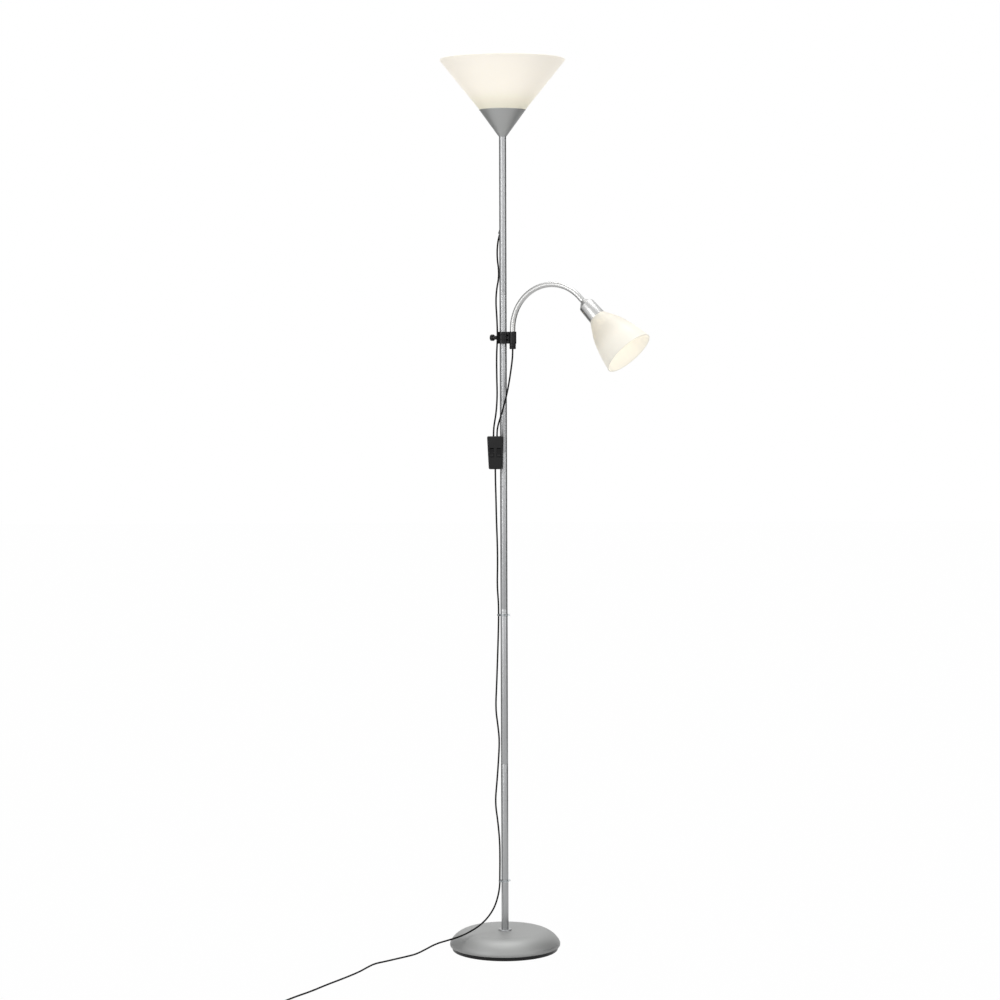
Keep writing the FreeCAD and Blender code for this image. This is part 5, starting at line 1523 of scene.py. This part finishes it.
DOME_ROUTE = [
    (-13.6, -6.4, 112.0),
    (-21.0, -12.0, 89.0),
    (-33.9, -21.6, 70.5),
    (-50.5, -34.0, 56.5),
    (-71.0, -48.5, 46.6),
    (-92.0, -60.5, 39.2),
    (-116.0, -66.5, 33.4),
    (-140.0, -64.0, 25.8),
    (-161.0, -58.0, 13.0),
    (-180.0, -57.0, 3.2),
    (-199.0, -71.0, 1.8),
    (-220.0, -91.5, 1.75),
    (-240.5, -112.0, 1.75),
    (-260.0, -129.5, 1.75),
    (-272.0, -156.0, 1.75),
    (-288.0, -198.0, 1.75),
    (-315.5, -248.5, 1.75),
    (-345.5, -298.5, 1.75),
    (-370.5, -346.0, 1.75),
    (-396.5, -385.0, 1.75),
    (-418.5, -424.0, 1.75),
]


def in_metres(route: Sequence[tuple[float, float, float]]) -> list[Vector]:
    """Turns a route in millimetres into points in metres."""
    return [Vector(point) * MM for point in route]


def curve(name: str, points: Sequence[Vector], radius: float, kind: str) -> bpy.types.Object:
    """Makes a round open curve.

    Args:
        name: the curve's name.
        points: its control points.
        radius: its radius, or 0 for a bare line.
        kind: NURBS or POLY.

    Returns:
        The curve object.
    """
    data = bpy.data.curves.new(name, "CURVE")
    data.dimensions = "3D"
    data.bevel_depth = radius
    data.bevel_resolution = 6
    data.use_fill_caps = True
    data.resolution_u = 12
    line = data.splines.new(kind)
    line.points.add(len(points) - 1)
    for target, point in zip(line.points, points):
        target.co = (*point, 1)
    piece = bpy.data.objects.new(name, data)
    bpy.context.scene.collection.objects.link(piece)
    return piece


def spline(name: str, points: Sequence[Vector], radius: float) -> bpy.types.Object:
    """Makes a smooth open curve with the route's points as its control points."""
    piece = curve(name, points, radius, "NURBS")
    line = piece.data.splines[0]
    line.order_u = 3
    line.use_endpoint_u = True
    return piece


def line_points(points: Sequence[Vector]) -> list[Vector]:
    """Returns the points that a route's smooth curve runs through."""
    guide = spline("guide", points, 0)
    mesh = bpy.data.meshes.new_from_object(guide)
    found = [vertex.co.copy() for vertex in mesh.vertices]
    bpy.data.meshes.remove(mesh)
    bpy.data.objects.remove(guide)
    return found


def tube_along(name: str, points: Sequence[Vector], radius: float) -> bpy.types.Object:
    """Makes a mesh tube along points of a smooth curve."""
    choose(curve(name, points, radius, "POLY"))
    bpy.ops.object.convert(target="MESH")
    return tidy(bpy.context.object, 60.0)


def way_length(points: Sequence[Vector]) -> float:
    """Returns the length of the way through points."""
    return sum((b - a).length for a, b in zip(points, points[1:]))


@dataclass
class Cords:
    """The three free cords, the put-away coil, the plug and the clips."""

    pole: Pole
    switch: Switch
    arm: ReadingArm
    radius: float = 0.0017
    upper_entry: float = -0.0034
    arm_entry: float = 0.0036
    sunk: float = 0.007
    clip_reach: float = 0.0111
    lower_clip_azimuth: float = 20.0
    coil_heading: float = -118.0
    coil_start: tuple[float, float] = (-0.448, -0.4788)
    coil_turns: int = 4
    coil_pitch: float = 0.0039
    coil_middle: float = 0.0185
    points_per_turn: int = 16
    plug_thickness: float = 0.0137
    arm_exit: float = 1.227
    upper_clip: float = 0.685
    lower_clip: float = 0.141
    clip_half: float = 0.002
    clip_wall: float = 0.0012

    @property
    def floor(self) -> float:
        """The height of the middle line of a cord on the floor."""
        return self.radius + 0.05 * MM

    def entry(self, across: float, height: float) -> Vector:
        """Returns a cord's place in the switch."""
        return Vector((self.switch.x + across, self.switch.y, height))

    def upper(self) -> bpy.types.Object:
        """Lays the upper light's cord from the pole's hole to the switch."""
        middle, heading = self.pole.exit_line()
        mouth = middle + heading * 0.0032
        end = self.entry(self.upper_entry, self.switch.top - self.sunk)
        route = [mouth, mouth + heading * 0.010] + in_metres(UPPER_ROUTE) + [end + UP * 0.011, end]
        piece = spline("upper_light_cord", route, self.radius)
        settle(piece, "stand", "black_cord", Finishes.CORD_PVC, ["upper_cord"])
        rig.cord(piece, exit=mouth, length=way_length(line_points(route)), diameter=self.radius * 2,
                far_end="object", stiffness="medium", lay="hanging")
        return piece

    def reading(self) -> None:
        """Lays the reading light's cord in two lengths that follow the clamp's two motions."""
        top = self.arm.foot + UP * self.arm_exit
        end = self.entry(self.arm_entry, self.switch.top - self.sunk)
        route = [top, top - UP * 0.014] + in_metres(ARM_ROUTE) + [end + UP * 0.011, end]
        points = line_points(route)
        half = len(points) // 2
        upper = tube_along("reading_cord_upper", points[:half + 1], self.radius)
        lower = tube_along("reading_cord_lower", points[half:], self.radius)
        middle = points[half]
        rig.blend(upper, "clamp_liner", "clamp", middle, points[3])
        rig.blend(lower, "stand", "clamp_liner", points[-12], middle)
        settle(upper, "clamp", "black_cord", Finishes.CORD_PVC, ["arm_cord"])
        settle(lower, "stand", "black_cord", Finishes.CORD_PVC, ["arm_cord"])
        for piece, path in ((upper, points[:half + 1]), (lower, points[half:])):
            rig.cord(piece, exit=path[0], length=way_length(path), diameter=self.radius * 2,
                    far_end="object", stiffness="medium", lay="hanging", path=path)

    def coil_point(self, angle: float) -> Vector:
        """Returns a point of the coil's middle line.

        The lower layer winds inwards, climbs in the half turn where the winding reverses,
        and the upper layer winds out again and rises to the plug's middle.

        Args:
            angle: how far the winding has turned, in radians.

        Returns:
            The point.
        """
        whole = math.tau * self.coil_turns
        outer = self.coil_middle + self.coil_pitch * self.coil_turns / 4
        radius = outer - self.coil_pitch * min(angle, whole - angle) / math.tau
        climb = min(max((angle - whole / 2) / math.pi + 0.5, 0), 1)
        height = self.floor + self.coil_pitch * (1 - math.cos(math.pi * climb)) / 2
        finish = min(max((angle - whole) / (math.pi / 2) + 1, 0), 1)
        lift = self.plug_thickness / 2 - self.floor - self.coil_pitch
        height += lift * (1 - math.cos(math.pi * finish)) / 2
        way = compass(self.coil_heading)
        side = Vector((-way.y, way.x, 0))
        centre = Vector((*self.coil_start, 0)) + side * outer
        arm = Matrix.Rotation(angle, 3, "Z") @ (side * -radius)
        return centre + arm + UP * height

    def mains(self, plug_pieces: Sequence[bpy.types.Object]) -> None:
        """Lays the mains cord from the switch down the pole, over the foot and to its coil."""
        start = self.entry(0, self.switch.bottom + self.sunk)
        side = compass(180 + self.lower_clip_azimuth) * self.clip_reach
        way = compass(self.coil_heading)
        face = Vector((*self.coil_start, self.floor)) - way * 2 * self.radius
        route = [start, start - UP * 0.026] + in_metres(MAINS_ROUTE)
        route += [side + UP * 0.151, side + UP * 0.132] + in_metres(DOME_ROUTE)
        route += [face - way * 0.030, face]
        count = self.coil_turns * self.points_per_turn
        route += [self.coil_point(math.tau * self.coil_turns * i / count) for i in range(count + 1)]
        route.append(self.coil_point(math.tau * self.coil_turns) + way * 2 * self.radius)
        piece = spline("mains_lead", route, self.radius)
        settle(piece, "stand", "black_cord", Finishes.CORD_PVC, ["mains_cord", "mains_coil"])
        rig.cord(piece, exit=start, length=way_length(line_points(route)), diameter=self.radius * 2,
                far_end="plug", stiffness="medium", lay="loose", with_pieces=list(plug_pieces))

    def clip(self, name: str, height: float, azimuth: float) -> bpy.types.Object:
        """Makes a clear clip: a ring on the pole, a loop on the cord and a pull tab.

        Args:
            name: the piece's name.
            height: the height of its middle.
            azimuth: the compass angle of its loop.

        Returns:
            The clip.
        """
        half = self.clip_half
        low = UP * (height - half)
        high = UP * (height + half)
        out = compass(azimuth)
        clip = rod(name, low, high, self.pole.radius + 0.0013, 64)
        hold = out * self.clip_reach
        combined(clip, rod("loop", hold + low, hold + high, self.radius + self.clip_wall), "UNION")
        tab = brick("tab", Vector((0.0078, -0.0006, height - half)), Vector((0.012, 0.0006, height + half)))
        combined(clip, put(tab, Matrix.Rotation(math.radians(azimuth + 180), 4, "Z")), "UNION")
        spare = UP * 0.001
        combined(clip, rod("bore", low - spare, high + spare, self.pole.radius + 0.00006, 64), "DIFFERENCE")
        combined(clip, rod("groove", hold + low - spare, hold + high + spare, self.radius + 0.0001),
                 "DIFFERENCE")
        return bevelled(clip, 0.00025, 2)

    def clips(self) -> None:
        """Makes both clips."""
        for name, height, turn in (("cord_clip_upper", self.upper_clip, 0),
                                   ("cord_clip_lower", self.lower_clip, self.lower_clip_azimuth)):
            clip = self.clip(name, height, 180 + turn)
            settle(clip, "stand", "clear_plastic", Finishes.CLEAR_PC, ["cable_clips"])

    def plug(self) -> list[bpy.types.Object]:
        """Makes the plug's body with finger grips and its ribbed strain relief, and returns its pieces."""
        way = compass(self.coil_heading)
        end = self.coil_point(math.tau * self.coil_turns) + way * 2 * self.radius
        turn = Matrix.Rotation(math.radians(self.coil_heading), 4, "Z")
        place = Matrix.Translation(end) @ turn
        long, body_long, wide = 0.028, 0.035, 0.026
        thin, thick, notch = 0.0026, 0.0046, 0.0007
        outline = [(0, 0)]
        ribs = 7
        for index in range(ribs):
            share = index / ribs
            size = thin + (thick - thin) * share
            foot = long * share
            outline += [(size, foot + 0.0004), (size, foot + 0.0026), (size - notch, foot + 0.003)]
            outline += [(size - notch, foot + 0.0036)]
        outline += [(thick, long - 0.0002), (0, long)]
        relief = put(spun("plug_strain_relief", outline, 48), upright(way, end))
        settle(relief, "stand", "rubber", Finishes.RUBBER, ["plug_relief"])
        half = wide / 2
        shape = [(0, -0.007), (0.009, -half + 0.0022), (0.013, -half), (body_long, -half + 0.0015)]
        shape += [(x, -y) for x, y in shape[::-1]]
        base = Matrix.Translation(UP * (-self.plug_thickness / 2 + 0.00005))
        start = place @ Matrix.Translation((long, 0, 0)) @ base
        body = slab("plug_moulding", shape, self.plug_thickness - 0.0001, start)
        for side in (-1, 1):
            for index in range(4):
                spot = Vector((0.017 + index * 0.0032, side * (half + 0.0002), 0))
                groove = rod("grip", spot - UP * 0.002, spot + UP * 0.016, 0.0009, 16)
                combined(body, put(groove, start), "DIFFERENCE")
        bevelled(body, 0.0015, 4, 50)
        settle(body, "stand", "black_plastic", Finishes.BLACK_ABS, ["plug_body"])
        return [relief, body, frame["nodes"]["plug_pins"]]

    def build(self) -> None:
        """Lays every cord and makes what is on them."""
        pieces = self.plug()
        self.upper()
        self.reading()
        self.mains(pieces)
        self.clips()
        dress_nodes(Finishes.CORD_PVC, "upper_cord_inner")
        dress_nodes(Finishes.PIN_NICKEL, "plug_pins")


# ---------------------------------------------------------------------------
# Studio
# ---------------------------------------------------------------------------
@dataclass
class Studio:
    """The camera, the pale floor, the white room and the soft lights."""

    camera_place: tuple[float, float, float] = (-0.0075, -5.27, 1.256)
    pitch: float = 3.67
    roll: float = 0.19
    focal_pixels: float = 2616.0
    image_pixels: float = 1000.0
    sensor: float = 36.0
    floor_size: float = 24.0
    floor_grey: str = "767676"
    floor_white: float = 0.994
    room_strength: float = 0.3
    light_target: float = 1.0
    card_black: str = "0A0A0A"
    card_height: float = 2.5
    card_lift: float = 0.02

    def camera(self) -> None:
        """Sets the camera where the photograph was taken from."""
        data = bpy.data.cameras.new("camera")
        data.sensor_width = self.sensor
        data.lens = self.focal_pixels * self.sensor / self.image_pixels
        data.clip_end = 60
        camera = bpy.data.objects.new("camera", data)
        bpy.context.scene.collection.objects.link(camera)
        aim = Matrix.Rotation(math.radians(90 - self.pitch), 4, "X")
        tilt = Matrix.Rotation(math.radians(-self.roll), 4, "Z")
        camera.matrix_world = Matrix.Translation(self.camera_place) @ aim @ tilt
        bpy.context.scene.camera = camera

    def seen(self, tree: bpy.types.NodeTree) -> bpy.types.NodeSocket:
        """Returns 1 where the camera, a gloss or a clear piece looks at a surface, else 0."""
        path = add_node(tree, "ShaderNodeLightPath")
        seen = add_node(tree, "ShaderNodeMath", {"operation": "MAXIMUM"}, {
            0: path.outputs["Is Camera Ray"],
            1: path.outputs["Is Glossy Ray"],
        })
        also = add_node(tree, "ShaderNodeMath", {"operation": "MAXIMUM"}, {
            0: seen.outputs[0],
            1: path.outputs["Is Transmission Ray"],
        })
        return also.outputs[0]

    def white(self, name: str, share: float) -> bpy.types.Material:
        """Returns a pale surface that looks white to the camera and keeps some shadow.

        Args:
            name: the material's name.
            share: how much of what the camera sees is plain white.

        Returns:
            The material.
        """
        made = bpy.data.materials.new(name)
        made.use_nodes = True
        tree = made.node_tree
        tree.nodes.clear()
        lit = add_node(tree, "ShaderNodeBsdfDiffuse", {"Color": linear(self.floor_grey)})
        plain = add_node(tree, "ShaderNodeEmission", {"Color": (1, 1, 1, 1)})
        amount = add_node(tree, "ShaderNodeMath", {"operation": "MULTIPLY", 1: share}, {0: self.seen(tree)})
        both = add_node(tree, "ShaderNodeMixShader", links={
            0: amount.outputs[0],
            1: lit.outputs[0],
            2: plain.outputs[0],
        })
        add_node(tree, "ShaderNodeOutputMaterial", links={"Surface": both.outputs[0]})
        return made

    def floor(self) -> None:
        """Lays the pale floor."""
        deselect()
        bpy.ops.mesh.primitive_plane_add(size=self.floor_size)
        floor = bpy.context.object
        floor.name = "studio_floor"
        floor.data.materials.append(self.white("studio_floor_paper", self.floor_white))
        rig.stage(floor)

    def world(self) -> None:
        """Fills the room with even light, and makes it white behind the lamp."""
        made = bpy.data.worlds.new("studio")
        bpy.context.scene.world = made
        made.use_nodes = True
        tree = made.node_tree
        tree.nodes.clear()
        dim = add_node(tree, "ShaderNodeBackground", {"Color": (1, 1, 1, 1), "Strength": self.room_strength})
        bright = add_node(tree, "ShaderNodeBackground", {"Color": (1, 1, 1, 1), "Strength": 1.0})
        both = add_node(tree, "ShaderNodeMixShader", links={
            0: self.seen(tree),
            1: dim.outputs[0],
            2: bright.outputs[0],
        })
        add_node(tree, "ShaderNodeOutputWorld", links={"Surface": both.outputs[0]})

    def softbox(self, name: str, place: tuple[float, float, float], size: tuple[float, float],
                power: float) -> None:
        """Hangs a soft light that faces the lamp.

        Args:
            name: the light's name.
            place: its middle.
            size: its width and height.
            power: its power in watts.
        """
        data = bpy.data.lights.new(name, "AREA")
        data.shape = "RECTANGLE"
        data.size, data.size_y = size
        data.energy = power
        light = bpy.data.objects.new(name, data)
        bpy.context.scene.collection.objects.link(light)
        spot = Vector(place)
        aim = Vector((0, 0, self.light_target)) - spot
        light.rotation_mode = "QUATERNION"
        light.rotation_quaternion = aim.to_track_quat("-Z", "Y")
        light.location = spot

    def card(self, name: str, azimuth: float, away: float, width: float) -> None:
        """Stands a black card beside the lamp, which draws a dark edge in polished metal.

        Args:
            name: the card's name.
            azimuth: the compass angle that it stands at.
            away: its distance from the pole.
            width: its width.
        """
        deselect()
        bpy.ops.mesh.primitive_plane_add(size=1)
        card = bpy.context.object
        card.name = name
        tall = self.card_height
        place = Matrix.Translation(compass(azimuth) * away + UP * (tall / 2 + self.card_lift))
        turn = Matrix.Rotation(math.radians(azimuth + 90), 4, "Z") @ Matrix.Rotation(math.pi / 2, 4, "X")
        put(card, place @ turn @ Matrix.Diagonal((width, tall, 1, 1)))
        made = bpy.data.materials.new(name)
        made.use_nodes = True
        made.node_tree.nodes.clear()
        dull = add_node(made.node_tree, "ShaderNodeBsdfDiffuse", {"Color": linear(self.card_black)})
        add_node(made.node_tree, "ShaderNodeOutputMaterial", links={"Surface": dull.outputs[0]})
        card.data.materials.append(made)
        card.visible_camera = False
        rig.stage(card)

    def build(self) -> None:
        """Sets up the studio."""
        self.camera()
        self.floor()
        self.world()
        self.softbox("key_softbox", (-2.7, -2.95, 1.8), (0.9, 3.2), 52)
        self.softbox("fill_softbox", (2.8, -2.6, 1.8), (1.0, 2.6), 22)
        self.softbox("front_softbox", (0.0, -6.4, 2.2), (3.0, 2.8), 38)
        self.softbox("top_softbox", (0.0, 0.6, 4.2), (2.4, 2.4), 84)
        self.card("left_card", 146.0, 1.5, 1.4)
        self.card("right_card", 16.0, 1.5, 1.5)
        bpy.context.scene.view_settings.view_transform = "Standard"


def main() -> None:
    """Builds the studio and every sub-assembly, and writes the sizes."""
    logging.basicConfig(level=logging.INFO, format="%(name)s: %(message)s")
    arm = ReadingArm()
    pole = Pole()
    switch = Switch()
    assemblies = (
        Studio(),
        Cords(pole, switch, arm),
        Foot(),
        pole,
        UpperLight(),
        Clamp(arm),
        Neck(arm),
        ReadingHead(arm),
        switch,
    )
    for assembly in assemblies:
        assembly.build()
        LOG.info("%s is done", type(assembly).__name__)
    sizes = {
        "cad": [list(corner) for corner in CAD_BOX],
        "visual": [list(corner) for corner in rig.bounds()],
    }
    with open("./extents.json", "w") as target:
        json.dump(sizes, target)


if __name__ == "__main__":
    main()
